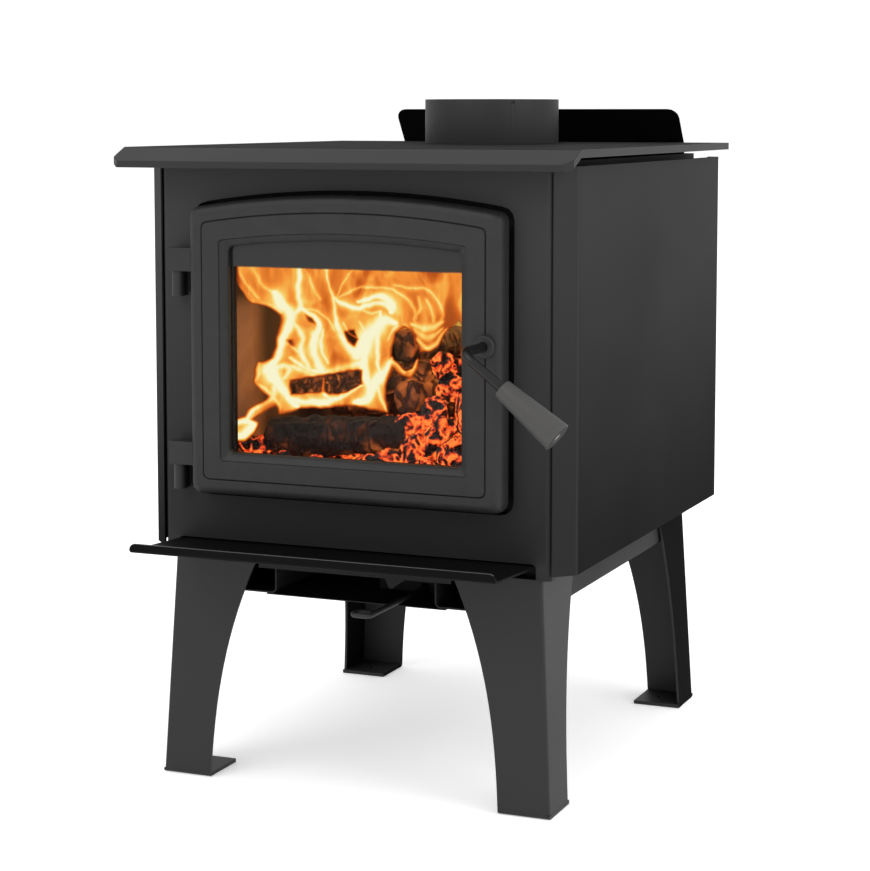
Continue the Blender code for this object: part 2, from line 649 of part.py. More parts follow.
# ---------------------------------------------------------------- air control
def air_box():
    """Folded box under the firebox floor that the air shutter slides in."""
    low, high = CHANNEL_BOTTOM, BOX_BOTTOM - GAP
    wall = 0.002
    box = place(
        "air_box",
        box_mesh((AIRBOX_LEFT, depth(AIRBOX_FRONT), low), (AIRBOX_RIGHT, depth(AIRBOX_REAR), high)),
        STOVE_PAINT,
    )
    inside = box_mesh(
        (AIRBOX_LEFT + wall, depth(AIRBOX_FRONT + wall), low - 0.01),
        (AIRBOX_RIGHT - wall, depth(AIRBOX_REAR - wall), high + 0.01),
    )
    boolean(box, cutter("air_box_inside", inside))
    gate = box_mesh(
        (ROD_X - 0.0045, depth(AIRBOX_FRONT - 0.01), low - 0.01),
        (ROD_X + 0.0045, depth(AIRBOX_FRONT + 0.01), ROD_Z + 0.0045),
    )
    boolean(box, cutter("rod_gate", gate))


def air_rod():
    """Round rod bent at its front end into a finger loop."""
    r = ROD_RADIUS
    rod = place(
        "air_rod",
        cylinder_mesh((ROD_X, depth(ROD_FRONT + 0.006), ROD_Z), (ROD_X, depth(0.150), ROD_Z), r, 10),
        STOVE_PAINT, smooth=True,
    )
    loop = bmesh.new()
    cx, cy = ROD_X - LOOP_WIDTH / 2 + r, depth(ROD_FRONT + LOOP_LENGTH / 2)
    half_x, half_y, bend = LOOP_WIDTH / 2 - r, LOOP_LENGTH / 2 - r, 0.006
    route = rounded_rectangle(cx - half_x, cx + half_x, cy - half_y, cy + half_y, bend, 4)
    rings = []
    for i, here in enumerate(route):
        before, after = Vector(route[i - 1]), Vector(route[(i + 1) % len(route)])
        if (after - before).length < 1e-9:
            continue
        along = (after - before).normalized()
        out = Vector((along.y, -along.x, 0))
        centre = Vector((*here, ROD_Z))
        rings.append([
            loop.verts.new(centre + out * r * math.cos(a) + Vector((0, 0, r * math.sin(a))))
            for a in (math.tau * k / 10 for k in range(10))
        ])
    for here, there in zip(rings, rings[1:] + rings[:1]):
        for k in range(10):
            n = (k + 1) % 10
            loop.faces.new((here[k], here[n], there[n], there[k]))
    boolean(rod, cutter("finger_loop", loop), "UNION")


def air_shutter():
    """Angle carried by the rod's inner end; its top slides under the inlet in the firebox floor."""
    top = BOX_BOTTOM - 0.0006
    left, right = AIRBOX_LEFT + 0.006, AIRBOX_RIGHT - 0.006
    front, back = depth(0.1503), depth(0.1920)
    outline = [
        (front, ROD_Z - 0.0015), (front + 0.002, ROD_Z - 0.0015), (front + 0.002, top - 0.002),
        (back, top - 0.002), (back, top), (front, top),
    ]
    place("air_shutter", prism([(left, y, z) for y, z in outline], (right - left, 0, 0)), BARE_STEEL)


# ---------------------------------------------------------------- door
def door_frame():
    """Cast arched frame with a rounded rim, two moulded steps, a glass seat and two hinge lugs."""
    edge, back, face = DOOR_OFFSET, DOOR_BACK, DOOR_FACE
    rings = [
        (edge, 0.010, back),
        (edge, 0.010, face + 0.0100),
        (edge - 0.0013, 0.010, face + 0.0050),
        (edge - 0.0040, 0.009, face + 0.0017),
        (edge - 0.0090, 0.008, face),
        (0.0285, 0.006, face),
        (0.0278, 0.006, face + 0.0016),
        (0.0268, 0.006, face - 0.0006),
        (0.0082, 0.003, face - 0.0006),
        (0.0074, 0.003, face + 0.0014),
        (0.0025, 0.004, face + 0.0040),
        (0.0000, 0.005, face + 0.0070),
        (0.0000, 0.005, face + 0.0120),
        (RECESS_OFFSET, 0.006, face + 0.0120),
        (RECESS_OFFSET, 0.006, back),
    ]
    frame = place("door_frame", door_ring(rings), CAST_IRON, smooth=True)
    for index, bottom in enumerate(LUG_BOTTOMS):
        lug = box_mesh(
            (HINGE_X - HINGE_PIN - 0.0055, depth(HINGE_DEPTH - HINGE_PIN - 0.0050), bottom),
            (-OPENING_HALF - DOOR_OFFSET + 0.012, depth(HINGE_DEPTH + LUG_BACK), bottom + LUG_HEIGHT),
        )
        boolean(frame, cutter(f"hinge_lug_{index}", lug), "UNION")
        bore = cylinder_mesh(
            (HINGE_X, depth(HINGE_DEPTH), bottom - 0.01),
            (HINGE_X, depth(HINGE_DEPTH), bottom + LUG_HEIGHT - 0.004),
            HINGE_PIN + GAP, 16,
        )
        boolean(frame, cutter(f"hinge_bore_{index}", bore))
    bore = cylinder_mesh(
        (LATCH_X, depth(face - 0.01), LATCH_Z), (LATCH_X, depth(back + 0.01), LATCH_Z),
        SHAFT_RADIUS + GAP, 16,
    )
    boolean(frame, cutter("latch_bore", bore))
    for index, (x, z) in enumerate(retainer_screw_places()):
        hole = cylinder_mesh((x, depth(back - 0.009), z), (x, depth(back + 0.01), z), 0.0015, 10)
        boolean(frame, cutter(f"retainer_hole_{index}", hole))


def door_glass():
    slab = door_slab(GLASS_OFFSET, 0.0055, GLASS_FRONT, GLASS_FRONT + GLASS_THICK)
    place("door_glass", slab, CERAMIC_GLASS)


GLASS_FRONT = DOOR_FACE + 0.0120 + GAP


def glass_gasket():
    """Woven tape that lies on the back of the glass, under the retaining frame."""
    front = GLASS_FRONT + GLASS_THICK + GAP
    back = DOOR_BACK - GAP
    rings = [(0.001, 0.005, front), (GLASS_OFFSET, 0.0055, front), (GLASS_OFFSET, 0.0055, back),
             (0.001, 0.005, back)]
    place("glass_gasket", door_ring(rings), GLASS_TAPE)


def glass_retainer():
    """Thin steel frame screwed to the door's back over the glass edge."""
    front, back = DOOR_BACK + GAP, DOOR_BACK + GAP + 0.0012
    rings = [(0.001, 0.005, front), (RETAINER_OFFSET, 0.013, front), (RETAINER_OFFSET, 0.013, back),
             (0.001, 0.005, back)]
    frame = place("glass_retainer", door_ring(rings), BARE_STEEL)
    for index, (x, z) in enumerate(retainer_screw_places()):
        hole = cylinder_mesh((x, depth(DOOR_BACK - 0.005), z), (x, depth(DOOR_BACK + 0.01), z),
                             0.0015, 10)
        boolean(frame, cutter(f"retainer_clear_{index}", hole))


def retainer_screw_places():
    """One screw at the middle of each upright of the retaining frame."""
    x = OPENING_HALF + RETAINER_SCREW
    return [(side * x, (OPENING_BOTTOM + OPENING_CORNER) / 2 - 0.030) for side in (-1, 1)]


def retainer_screw(name, x, z):
    front = DOOR_BACK + 2 * GAP + 0.0012
    head = cylinder_mesh((x, depth(front), z), (x, depth(front + 0.0014), z), 0.0021, 12)
    screw = place(name, head, BARE_STEEL)
    shank = cylinder_mesh((x, depth(DOOR_BACK - 0.0085), z), (x, depth(front + 0.0007), z), 0.0012, 8)
    boolean(screw, cutter(f"{name}_shank", shank), "UNION")


def door_seal():
    """Rope seal pressed between the door's back and the firebox's sealing rim."""
    front, back = DOOR_BACK + GAP, DOOR_BACK + GAP + SEAL_THICK
    inner, outer = MOUTH_OFFSET - 0.0003, MOUTH_OFFSET + MOUTH_RIM
    rings = [(inner, 0.011, front), (outer, 0.015, front), (outer, 0.015, back),
             (inner, 0.011, back)]
    place("door_seal", door_ring(rings), ROPE_SEAL)


def hinge_bracket(name, bottom):
    """Barrel with a web welded to the front plate; the door's lug rests on it."""
    top = bottom - GAP
    low = top - BARREL_HEIGHT
    centre = depth(HINGE_DEPTH)
    barrel = place(name, cylinder_mesh((HINGE_X, centre, low), (HINGE_X, centre, top),
                                       BARREL_RADIUS, 20), CAST_IRON, smooth=True)
    web = box_mesh((HINGE_X - 0.0045, centre, low), (HINGE_X + 0.0045, depth(-GAP), top - 0.0002))
    boolean(barrel, cutter(f"{name}_web", web), "UNION")
    bore = cylinder_mesh((HINGE_X, centre, top - 0.016), (HINGE_X, centre, top + 0.01),
                         HINGE_PIN + GAP, 16)
    boolean(barrel, cutter(f"{name}_bore", bore))


def hinge_pin(name, bottom):
    """Plain pin standing in the barrel and reaching up into the lug."""
    centre = depth(HINGE_DEPTH)
    pin = cylinder_mesh((HINGE_X, centre, bottom - 2 * GAP - 0.0155),
                        (HINGE_X, centre, bottom + LUG_HEIGHT - 0.0055), HINGE_PIN, 16)
    place(name, pin, BARE_STEEL, smooth=True)


# ---------------------------------------------------------------- door handle and latch
def along_handle(distance, side=0.0):
    """World point on the handle's arm, distance from the shaft's axis."""
    way = Vector((math.cos(HANDLE_ANGLE), 0, math.sin(HANDLE_ANGLE)))
    return Vector((LATCH_X, depth(-HANDLE_REACH), LATCH_Z)) + way * distance


def handle_shaft():
    """Round bar through the door, bent at its outer end into the arm that carries the grip."""
    r, bend = SHAFT_RADIUS, 0.014
    way = Vector((math.cos(HANDLE_ANGLE), 0, math.sin(HANDLE_ANGLE)))
    corner = Vector((LATCH_X, depth(-HANDLE_REACH), LATCH_Z))
    start = Vector((LATCH_X, depth(0.0105), LATCH_Z))
    points = [start]
    for i in range(7):
        a = math.radians(90 * i / 6)
        centre = corner + Vector((0, bend, 0)) + way * bend
        points.append(centre - Vector((0, bend * math.sin(a), 0)) - way * bend * math.cos(a))
    points.append(along_handle(ARM_LENGTH + GRIP_BORE_DEPTH - GAP))
    curve = bpy.data.curves.new("handle_shaft", "CURVE")
    curve.dimensions = "3D"
    curve.bevel_depth = r
    curve.bevel_resolution = 2
    curve.use_fill_caps = True
    spline = curve.splines.new("POLY")
    spline.points.add(len(points) - 1)
    for point, co in zip(spline.points, points):
        point.co = (*co, 1.0)
    obj = bpy.data.objects.new("handle_shaft", curve)
    bpy.context.scene.collection.objects.link(obj)
    curve.materials.append(BARE_STEEL)


def handle_boss():
    """Turned collar on the door's face that the shaft runs in."""
    front = BOSS_THICK
    profile = [
        (SHAFT_RADIUS + GAP, 0.0), (BOSS_RADIUS, 0.0), (BOSS_RADIUS, front - 0.0015),
        (BOSS_RADIUS - 0.0015, front), (SHAFT_RADIUS + GAP, front),
    ]
    bm = lathe(profile, 24)
    turn = Matrix.Rotation(math.radians(90), 4, "X")
    seat = depth(DOOR_FACE - 0.0006 - GAP)
    bmesh.ops.transform(bm, verts=bm.verts, matrix=Matrix.Translation((LATCH_X, seat, LATCH_Z)) @ turn)
    place("handle_boss", bm, CAST_IRON, smooth=True)


def handle_grip():
    """Tapered grip with a bore for the arm and a recess for its screw."""
    length, small, large = GRIP_LENGTH, GRIP_SMALL, GRIP_LARGE
    bore = SHAFT_RADIUS + GAP
    profile = [
        (0.0, GRIP_BORE_DEPTH), (bore, GRIP_BORE_DEPTH), (bore, 0.0), (small - 0.0012, 0.0),
        (small, 0.0015), (small + 0.4 * (large - small), 0.40 * length),
        (small + 0.8 * (large - small), 0.72 * length), (large, 0.93 * length),
        (large - 0.0008, length - 0.0016), (large - 0.0028, length),
        (0.0045, length), (0.0045, length - 0.0040), (0.0, length - 0.0040),
    ]
    bm = lathe(profile, 24)
    way = along_handle(1.0) - along_handle(0.0)
    turn = way.to_track_quat("Z", "Y").to_matrix().to_4x4()
    bmesh.ops.transform(bm, verts=bm.verts, matrix=Matrix.Translation(along_handle(ARM_LENGTH)) @ turn)
    place("handle_grip", bm, GRIP_COAT, smooth=True)


def grip_screw():
    """Screw head sunk in the grip's end."""
    inner = ARM_LENGTH + GRIP_LENGTH - 0.0040 + GAP
    head = cylinder_mesh(along_handle(inner), along_handle(inner + 0.0022), 0.0038, 12)
    place("grip_screw", head, BARE_STEEL)


def latch_cam():
    """Flat hook on the shaft's inner end; turned aside it catches behind the front plate."""
    front, back = depth(0.0060), depth(0.0090)
    base, tip, reach = SHAFT_RADIUS + CAM_WALL, 0.0045, 0.0290
    outline = arc(LATCH_X, LATCH_Z, base, 180, 360, 8)
    outline = [(min(max(x, LATCH_X - base), LATCH_X + base), z) for x, z in outline]
    outline += arc(LATCH_X + 0.0005, LATCH_Z + reach - tip, tip, 0, 180, 6)
    bm = prism([(x, front, z) for x, z in outline], (0, back - front, 0))
    cam = place("latch_cam", bm, BARE_STEEL)
    bore = cylinder_mesh((LATCH_X, front - 0.01, LATCH_Z), (LATCH_X, back + 0.01, LATCH_Z),
                         SHAFT_RADIUS + GAP, 16)
    boolean(cam, cutter("cam_bore", bore))


def latch_nut():
    """Hexagon nut that holds the cam on the shaft."""
    y0, y1 = depth(0.0090 + GAP), depth(0.0140)
    nut = place("latch_nut", cylinder_mesh((LATCH_X, y0, LATCH_Z), (LATCH_X, y1, LATCH_Z), 0.0078, 6),
                BARE_STEEL)
    bore = cylinder_mesh((LATCH_X, y0 - 0.01, LATCH_Z), (LATCH_X, depth(0.0112), LATCH_Z),
                         SHAFT_RADIUS + GAP, 16)
    boolean(nut, cutter("nut_bore", bore))


# ---------------------------------------------------------------- inside the firebox
def lining():
    """Refractory bricks: a floor, two side walls and a rear wall, each brick with a hairline gap."""
    left = -BOX_HALF + STEEL_PLATE + GAP
    front, rear = BOX_FRONT + STEEL_PLATE + GAP, BOX_REAR - STEEL_PLATE - GAP
    low = BOX_BOTTOM + STEEL_PLATE + GAP
    joint = GAP

    def brick(name, x, y, z):
        low_corner = (x[0], depth(y[0]), z[0])
        high_corner = (x[1], depth(y[1]), z[1])
        bm = box_mesh(low_corner, high_corner)
        bmesh.ops.bevel(bm, geom=bm.edges[:], offset=0.0012, segments=1, affect="EDGES")
        place(name, bm, FIREBRICK)

    middle = (front + rear) / 2
    brick("brick_floor_front", (left, -left), (front, middle - joint / 2), (low, low + BRICK))
    brick("brick_floor_rear", (left, -left), (middle + joint / 2, rear), (low, low + BRICK))
    wall_low = low + BRICK + joint
    for word, across in (("left", (left, left + BRICK)), ("right", (-left - BRICK, -left))):
        brick(f"brick_{word}_front", across, (front, middle - joint / 2), (wall_low, LINING_TOP))
        brick(f"brick_{word}_rear", across, (middle + joint / 2, rear), (wall_low, LINING_TOP))
    inner_left = left + BRICK + joint
    brick("brick_back", (inner_left, -inner_left), (rear - BRICK, rear), (wall_low, LINING_TOP))


def air_tube(name, distance):
    """Stainless secondary air tube across the firebox with a row of jets facing forward."""
    reach = BOX_HALF - STEEL_PLATE - MANIFOLD_WIDTH - 3 * GAP
    y = depth(distance)
    place(name, cylinder_mesh((-reach, y, TUBE_Z), (reach, y, TUBE_Z), TUBE_RADIUS, 16), TUBE_STEEL,
          smooth=True)


def air_manifold(name, side):
    """Square duct on top of the side lining that feeds the tubes and carries the baffle."""
    outer = BOX_HALF - STEEL_PLATE - GAP
    x0, x1 = sorted((side * outer, side * (outer - MANIFOLD_WIDTH)))
    front, rear = BOX_FRONT + STEEL_PLATE + 0.020, BOX_REAR - STEEL_PLATE - 2 * GAP
    place(name, box_mesh((x0, depth(front), LINING_TOP + GAP), (x1, depth(rear), TUBE_Z + TUBE_RADIUS)),
          TUBE_STEEL)


def baffle_board():
    """Insulating board resting on the tubes and the side ducts."""
    half = BOX_HALF - STEEL_PLATE - 2 * GAP
    low = TUBE_Z + TUBE_RADIUS + GAP
    board = box_mesh((-half, depth(BAFFLE_FRONT), low), (half, depth(BAFFLE_REAR), low + BAFFLE_THICK))
    place("baffle_board", board, BAFFLE_BOARD)


def baffle_blanket():
    low = TUBE_Z + TUBE_RADIUS + BAFFLE_THICK + 2 * GAP
    half = BOX_HALF - STEEL_PLATE - 0.012
    pad = box_mesh((-half, depth(BAFFLE_FRONT + 0.010), low),
                   (half, depth(BAFFLE_REAR - 0.006), low + BLANKET_THICK))
    place("baffle_blanket", pad, CERAMIC_WOOL)


# ---------------------------------------------------------------- the assembly
top_plate()
flue_collar()
firebox_shell()
front_plate()
SIDES = (("left", -1), ("right", 1))
for word, sign in SIDES:
    side_shield(f"side_shield_{word}", sign)
    shield_spacer(f"side_spacer_{word}", sign, 0.275, 0.450)
    air_channel(f"air_channel_{word}", sign)
    for end, is_rear in (("front", False), ("rear", True)):
        leg(f"leg_{end}_{word}", sign, is_rear)
        leg_bolt(f"leg_bolt_{end}_{word}", sign, is_rear)
    air_manifold(f"air_manifold_{word}", sign)
rear_shield()
rear_spacer("rear_spacer_left", -0.120, 0.460)
rear_spacer("rear_spacer_right", 0.120, 0.460)
bottom_pan()
front_apron()
for number, place_x in enumerate(APRON_SCREWS, 1):
    apron_screw(f"apron_screw_{number}", place_x)
ash_ledge()
air_box()
air_rod()
air_shutter()
door_frame()
door_glass()
glass_gasket()
glass_retainer()
for number, (screw_x, screw_z) in enumerate(retainer_screw_places(), 1):
    retainer_screw(f"retainer_screw_{number}", screw_x, screw_z)
door_seal()
for word, lug_bottom in zip(("bottom", "top"), LUG_BOTTOMS):
    hinge_bracket(f"hinge_bracket_{word}", lug_bottom)
    hinge_pin(f"hinge_pin_{word}", lug_bottom)
handle_shaft()
handle_boss()
handle_grip()
grip_screw()
latch_cam()
latch_nut()
lining()
for number, tube_depth in enumerate(TUBE_DEPTHS, 1):
    air_tube(f"air_tube_{number}", tube_depth)
baffle_board()
baffle_blanket()
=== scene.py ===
import math

import bpy
import numpy
from mathutils import Matrix, Vector


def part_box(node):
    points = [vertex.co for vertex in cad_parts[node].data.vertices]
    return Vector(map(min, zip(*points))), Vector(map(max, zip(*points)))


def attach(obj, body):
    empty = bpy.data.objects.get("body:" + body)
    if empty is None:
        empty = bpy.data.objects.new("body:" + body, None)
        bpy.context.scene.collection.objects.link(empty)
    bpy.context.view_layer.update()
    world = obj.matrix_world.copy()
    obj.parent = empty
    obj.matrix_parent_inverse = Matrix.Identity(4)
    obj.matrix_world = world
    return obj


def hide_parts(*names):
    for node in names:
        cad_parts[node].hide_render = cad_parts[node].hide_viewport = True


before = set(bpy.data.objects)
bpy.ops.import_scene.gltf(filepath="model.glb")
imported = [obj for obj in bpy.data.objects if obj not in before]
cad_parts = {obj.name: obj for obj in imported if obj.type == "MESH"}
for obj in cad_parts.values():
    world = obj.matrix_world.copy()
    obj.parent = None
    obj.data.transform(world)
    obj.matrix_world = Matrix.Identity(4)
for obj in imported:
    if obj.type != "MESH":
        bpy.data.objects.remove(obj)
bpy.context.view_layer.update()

# ------------------------------------------------------------------ legs
# Four angle legs, pressed from one sheet each, with a foot folded inwards and a tab at the top that a
# hexagon bolt holds under the firebox. Matt black stove paint, slightly grained, over the steel.
LEG_EDGE = 0.0007
PAINT_BLACK = (0.0135, 0.0135, 0.0133)


def shader_tree(name):
    """A new material's node tree and its shader."""
    material = bpy.data.materials.new(name)
    material.use_nodes = True
    tree = material.node_tree
    return material, tree, tree.nodes["Principled BSDF"]


def add_node(tree, kind, **values):
    """A node with its settings and its unlinked inputs."""
    node = tree.nodes.new(kind)
    for key, value in values.items():
        if hasattr(node, key):
            setattr(node, key, value)
        else:
            node.inputs[key.replace("_", " ")].default_value = value
    return node


def in_place(tree, scale=(1, 1, 1), shift=(0, 0, 0), turn=(0, 0, 0)):
    """Coordinates in metres on the piece itself."""
    where = tree.nodes.new("ShaderNodeTexCoord")
    mapping = tree.nodes.new("ShaderNodeMapping")
    mapping.inputs["Scale"].default_value = scale
    mapping.inputs["Location"].default_value = shift
    mapping.inputs["Rotation"].default_value = turn
    tree.links.new(where.outputs["Object"], mapping.inputs["Vector"])
    return mapping.outputs["Vector"]


def ramp(tree, factor, *stops):
    """Colour ramp through (position, colour) stops; a grey may be one number."""
    node = tree.nodes.new("ShaderNodeValToRGB")
    elements = node.color_ramp.elements
    while len(elements) < len(stops):
        elements.new(0.5)
    for element, (position, colour) in zip(elements, stops):
        if not isinstance(colour, tuple):
            colour = (colour, colour, colour)
        element.position = position
        element.color = (*colour, 1.0)
    tree.links.new(factor, node.inputs["Fac"])
    return node.outputs["Color"]


def maths(tree, operation, first, second=0.0, clamp=False):
    node = tree.nodes.new("ShaderNodeMath")
    node.operation = operation
    node.use_clamp = clamp
    for socket, value in zip(node.inputs, (first, second)):
        if isinstance(value, (int, float)):
            socket.default_value = value
        else:
            tree.links.new(value, socket)
    return node.outputs[0]


def noise(tree, vector, scale, detail=2.0, roughness=0.5, distortion=0.0, kind="FBM"):
    node = tree.nodes.new("ShaderNodeTexNoise")
    node.noise_type = kind
    for key, value in (("Scale", scale), ("Detail", detail), ("Roughness", roughness),
                       ("Distortion", distortion)):
        node.inputs[key].default_value = value
    tree.links.new(vector, node.inputs["Vector"])
    return node


def bump(tree, shader, height, strength, distance):
    node = tree.nodes.new("ShaderNodeBump")
    node.inputs["Strength"].default_value = strength
    node.inputs["Distance"].default_value = distance
    tree.links.new(height, node.inputs["Height"])
    tree.links.new(node.outputs["Normal"], shader.inputs["Normal"])


def span(tree, value, low, high, first=0.0, last=1.0):
    """A value carried from one range to another, smoothly and clamped."""
    node = tree.nodes.new("ShaderNodeMapRange")
    node.interpolation_type = "SMOOTHSTEP"
    for key, number in (("From Min", low), ("From Max", high), ("To Min", first), ("To Max", last)):
        node.inputs[key].default_value = number
    tree.links.new(value, node.inputs["Value"])
    return node.outputs["Result"]


def axis(tree, vector, name):
    split = tree.nodes.new("ShaderNodeSeparateXYZ")
    tree.links.new(vector, split.inputs["Vector"])
    return split.outputs[name]


def painted_steel(name, colour, roughness, grain=0.25, specular=0.30, shade_towards_bottom=None):
    """Matt heat-proof paint: fine spray grain, faint clouding, and, when asked for, painted shade that
    darkens its colour and sheen towards the bottom.
    """
    material, tree, shader = shader_tree(name)
    where = in_place(tree)
    fine = noise(tree, where, 1500, 3, 0.6).outputs["Fac"]
    cloud = noise(tree, where, 5, 2, 0.5, 0.4).outputs["Fac"]
    mixed = maths(tree, "ADD", maths(tree, "MULTIPLY", fine, 0.65), maths(tree, "MULTIPLY", cloud, 0.35))
    dark = tuple(c * 0.84 for c in colour)
    light = tuple(c * 1.16 for c in colour)
    tone = ramp(tree, mixed, (0.30, dark), (0.70, light))
    # Painted shade: colour and sheen fade from full at the upper height to the given share at the lower
    # height.
    if shade_towards_bottom:
        low, high, least = shade_towards_bottom
        height = span(tree, axis(tree, where, "Z"), low, high, least, 1.0)
        scaled = tree.nodes.new("ShaderNodeVectorMath")
        scaled.operation = "SCALE"
        tree.links.new(tone, scaled.inputs[0])
        tree.links.new(height, scaled.inputs["Scale"])
        tone = scaled.outputs[0]
        tree.links.new(maths(tree, "MULTIPLY", height, specular), shader.inputs["Specular IOR Level"])
    else:
        shader.inputs["Specular IOR Level"].default_value = specular
    tree.links.new(tone, shader.inputs["Base Color"])
    rough = ramp(tree, cloud, (0.3, roughness - 0.03), (0.7, roughness + 0.03))
    tree.links.new(rough, shader.inputs["Roughness"])
    bump(tree, shader, fine, grain, 0.00015)
    return material


def paint(piece, material):
    piece.data.materials.clear()
    piece.data.materials.append(material)


def second_paint(piece, material, chosen):
    """Another paint on the faces that pass a test of their normal and middle."""
    piece.data.materials.append(material)
    for face in piece.data.polygons:
        if chosen(face.normal, face.center):
            face.material_index = len(piece.data.materials) - 1


def rounded_copy(node, name, body, edge, material, segments=3, angle=28):
    """The fixed piece again with its edges rounded over, as the pressed or cast one has them."""
    bpy.ops.object.select_all(action="DESELECT")
    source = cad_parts[node]
    source.select_set(True)
    bpy.context.view_layer.objects.active = source
    bpy.ops.object.duplicate()
    piece = bpy.context.object
    piece.name = name
    for key in [k for k in piece.keys() if k.startswith("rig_")]:
        del piece[key]
    bpy.ops.object.mode_set(mode="EDIT")
    bpy.ops.mesh.select_all(action="SELECT")
    bpy.ops.mesh.remove_doubles(threshold=0.000002)
    bpy.ops.mesh.dissolve_limited(angle_limit=math.radians(0.6))
    bpy.ops.object.mode_set(mode="OBJECT")
    if edge:
        bevel = piece.modifiers.new("rounded", "BEVEL")
        bevel.width = edge
        bevel.segments = segments
        bevel.limit_method = "ANGLE"
        bevel.angle_limit = math.radians(angle)
        bpy.ops.object.modifier_apply(modifier=bevel.name)
    bpy.ops.object.shade_smooth_by_angle(angle=math.radians(angle))
    flat = piece.modifiers.new("flat faces", "WEIGHTED_NORMAL")
    flat.keep_sharp = True
    bpy.ops.object.modifier_apply(modifier=flat.name)
    paint(piece, material)
    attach(piece, body)
    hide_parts(node)
    return piece


STOVE_PAINT = painted_steel("stove_paint", PAINT_BLACK, 0.56)
# Painted shade: the rear legs' outer sides get a far darker, duller copy of the paint.
SHADED_REAR_LEG_SIDE_PAINT = painted_steel("rear_leg_side_painted_shade", (0.0030, 0.0030, 0.0029), 0.70, 0.2, 0.012)
for corner in ("front_left", "front_right", "rear_left", "rear_right"):
    leg = rounded_copy(f"leg_{corner}", f"pressed_leg_{corner}", "stove_body", LEG_EDGE, STOVE_PAINT)
    if corner.startswith("rear"):
        second_paint(leg, SHADED_REAR_LEG_SIDE_PAINT, lambda normal, middle: abs(normal.x) > 0.6)

# ------------------------------------------------------------------ bolts, screws, pins and standoffs
# Zinc-plated fasteners, dulled by heat: leg bolts, retainer screws, hinge pins and the turned standoffs that
# hold the shields off the firebox.
ZINC = (0.30, 0.29, 0.27)


def plated_steel(name, colour, roughness, streak):
    """Bare or plated steel with faint brushing and heat dulling."""
    material, tree, shader = shader_tree(name)
    brushed = noise(tree, in_place(tree, (1, 1, streak)), 900, 2, 0.5).outputs["Fac"]
    dull = noise(tree, in_place(tree), 40, 3, 0.6).outputs["Fac"]
    dark = tuple(c * 0.62 for c in colour)
    tree.links.new(ramp(tree, dull, (0.32, dark), (0.68, colour)), shader.inputs["Base Color"])
    rough = ramp(tree, brushed, (0.25, roughness - 0.06), (0.75, roughness + 0.10))
    tree.links.new(rough, shader.inputs["Roughness"])
    shader.inputs["Metallic"].default_value = 0.9
    bump(tree, shader, brushed, 0.12, 0.0001)
    return material


ZINC_PLATE = plated_steel("zinc_plate", ZINC, 0.40, 0.15)
BOLTS = [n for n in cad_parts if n.startswith(("leg_bolt", "retainer_screw", "side_spacer",
                                                    "rear_spacer", "hinge_pin"))]
for node in BOLTS:
    rounded_copy(node, f"plated_{node}", "door" if node.startswith("retainer") else "stove_body",
                 0.0004, ZINC_PLATE, 2, 40)

# ------------------------------------------------------------------ air channels, bottom pan and apron
# Folded ducts on either side under the firebox, a thin pan between them that shields the floor, and a
# strip between the front legs with its three pan-head screws. All in the shade under the ledge.
# Painted shade: a darker copy of the stove paint for the parts under the ledge and inside the box.
SHADE_PAINT = painted_steel("underside_painted_shade", (0.0085, 0.0085, 0.0083), 0.66, 0.2, 0.2)
for side in ("left", "right"):
    rounded_copy(f"air_channel_{side}", f"folded_channel_{side}", "stove_body", 0.0004, SHADE_PAINT)
rounded_copy("bottom_pan", "floor_shield_pan", "stove_body", 0.0003, SHADE_PAINT)
rounded_copy("front_apron", "apron_strip", "stove_body", 0.0004, SHADE_PAINT)
rounded_copy("air_box", "folded_air_box", "stove_body", 0.0004, SHADE_PAINT)
for number in (1, 2, 3):
    rounded_copy(f"apron_screw_{number}", f"pan_screw_{number}", "stove_body", 0.0004, STOVE_PAINT, 2, 40)

# ------------------------------------------------------------------ firebox and its lining
# A welded box of heavy plate. Refractory bricks stand along its walls and lie on its floor; they are
# pale and porous, browned by the fire and sooted towards their tops.
BRICK_TONES = ((0.150, 0.085, 0.050), (0.46, 0.29, 0.18))

rounded_copy("firebox_shell", "welded_firebox", "stove_body", 0.0006, SHADE_PAINT)


def firebrick(name):
    """Porous brick: mottled buff and brown, pitted, blackened with height."""
    material, tree, shader = shader_tree(name)
    where = in_place(tree)
    grains = noise(tree, where, 260, 4, 0.65).outputs["Fac"]
    stains = noise(tree, where, 16, 4, 0.6, 0.8).outputs["Fac"]
    split = tree.nodes.new("ShaderNodeSeparateXYZ")
    tree.links.new(where, split.inputs["Vector"])
    height = add_node(tree, "ShaderNodeMapRange")
    for key, value in (("From Min", 0.30), ("From Max", 0.56), ("To Min", 1.0), ("To Max", 0.35)):
        height.inputs[key].default_value = value
    tree.links.new(split.outputs["Z"], height.inputs["Value"])
    tone = maths(tree, "ADD", maths(tree, "MULTIPLY", stains, 0.7), maths(tree, "MULTIPLY", grains, 0.3))
    tone = maths(tree, "MULTIPLY", tone, height.outputs["Result"])
    soot = maths(tree, "MULTIPLY", span(tree, split.outputs["Y"], -0.115, -0.070, 1.0, 0.10),
                 span(tree, split.outputs["Z"], 0.490, 0.515, 1.0, 0.12))
    scaled = tree.nodes.new("ShaderNodeVectorMath")
    scaled.operation = "SCALE"
    tree.links.new(ramp(tree, tone, (0.12, BRICK_TONES[0]), (0.62, BRICK_TONES[1])), scaled.inputs[0])
    tree.links.new(soot, scaled.inputs["Scale"])
    tree.links.new(scaled.outputs[0], shader.inputs["Base Color"])
    shader.inputs["Roughness"].default_value = 0.95
    bump(tree, shader, grains, 0.5, 0.0012)
    return material


FIREBRICK = firebrick("sooted_firebrick")
for node in [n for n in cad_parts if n.startswith("brick_")]:
    rounded_copy(node, f"fired_{node}", "stove_body", 0.0008, FIREBRICK, 2, 20)

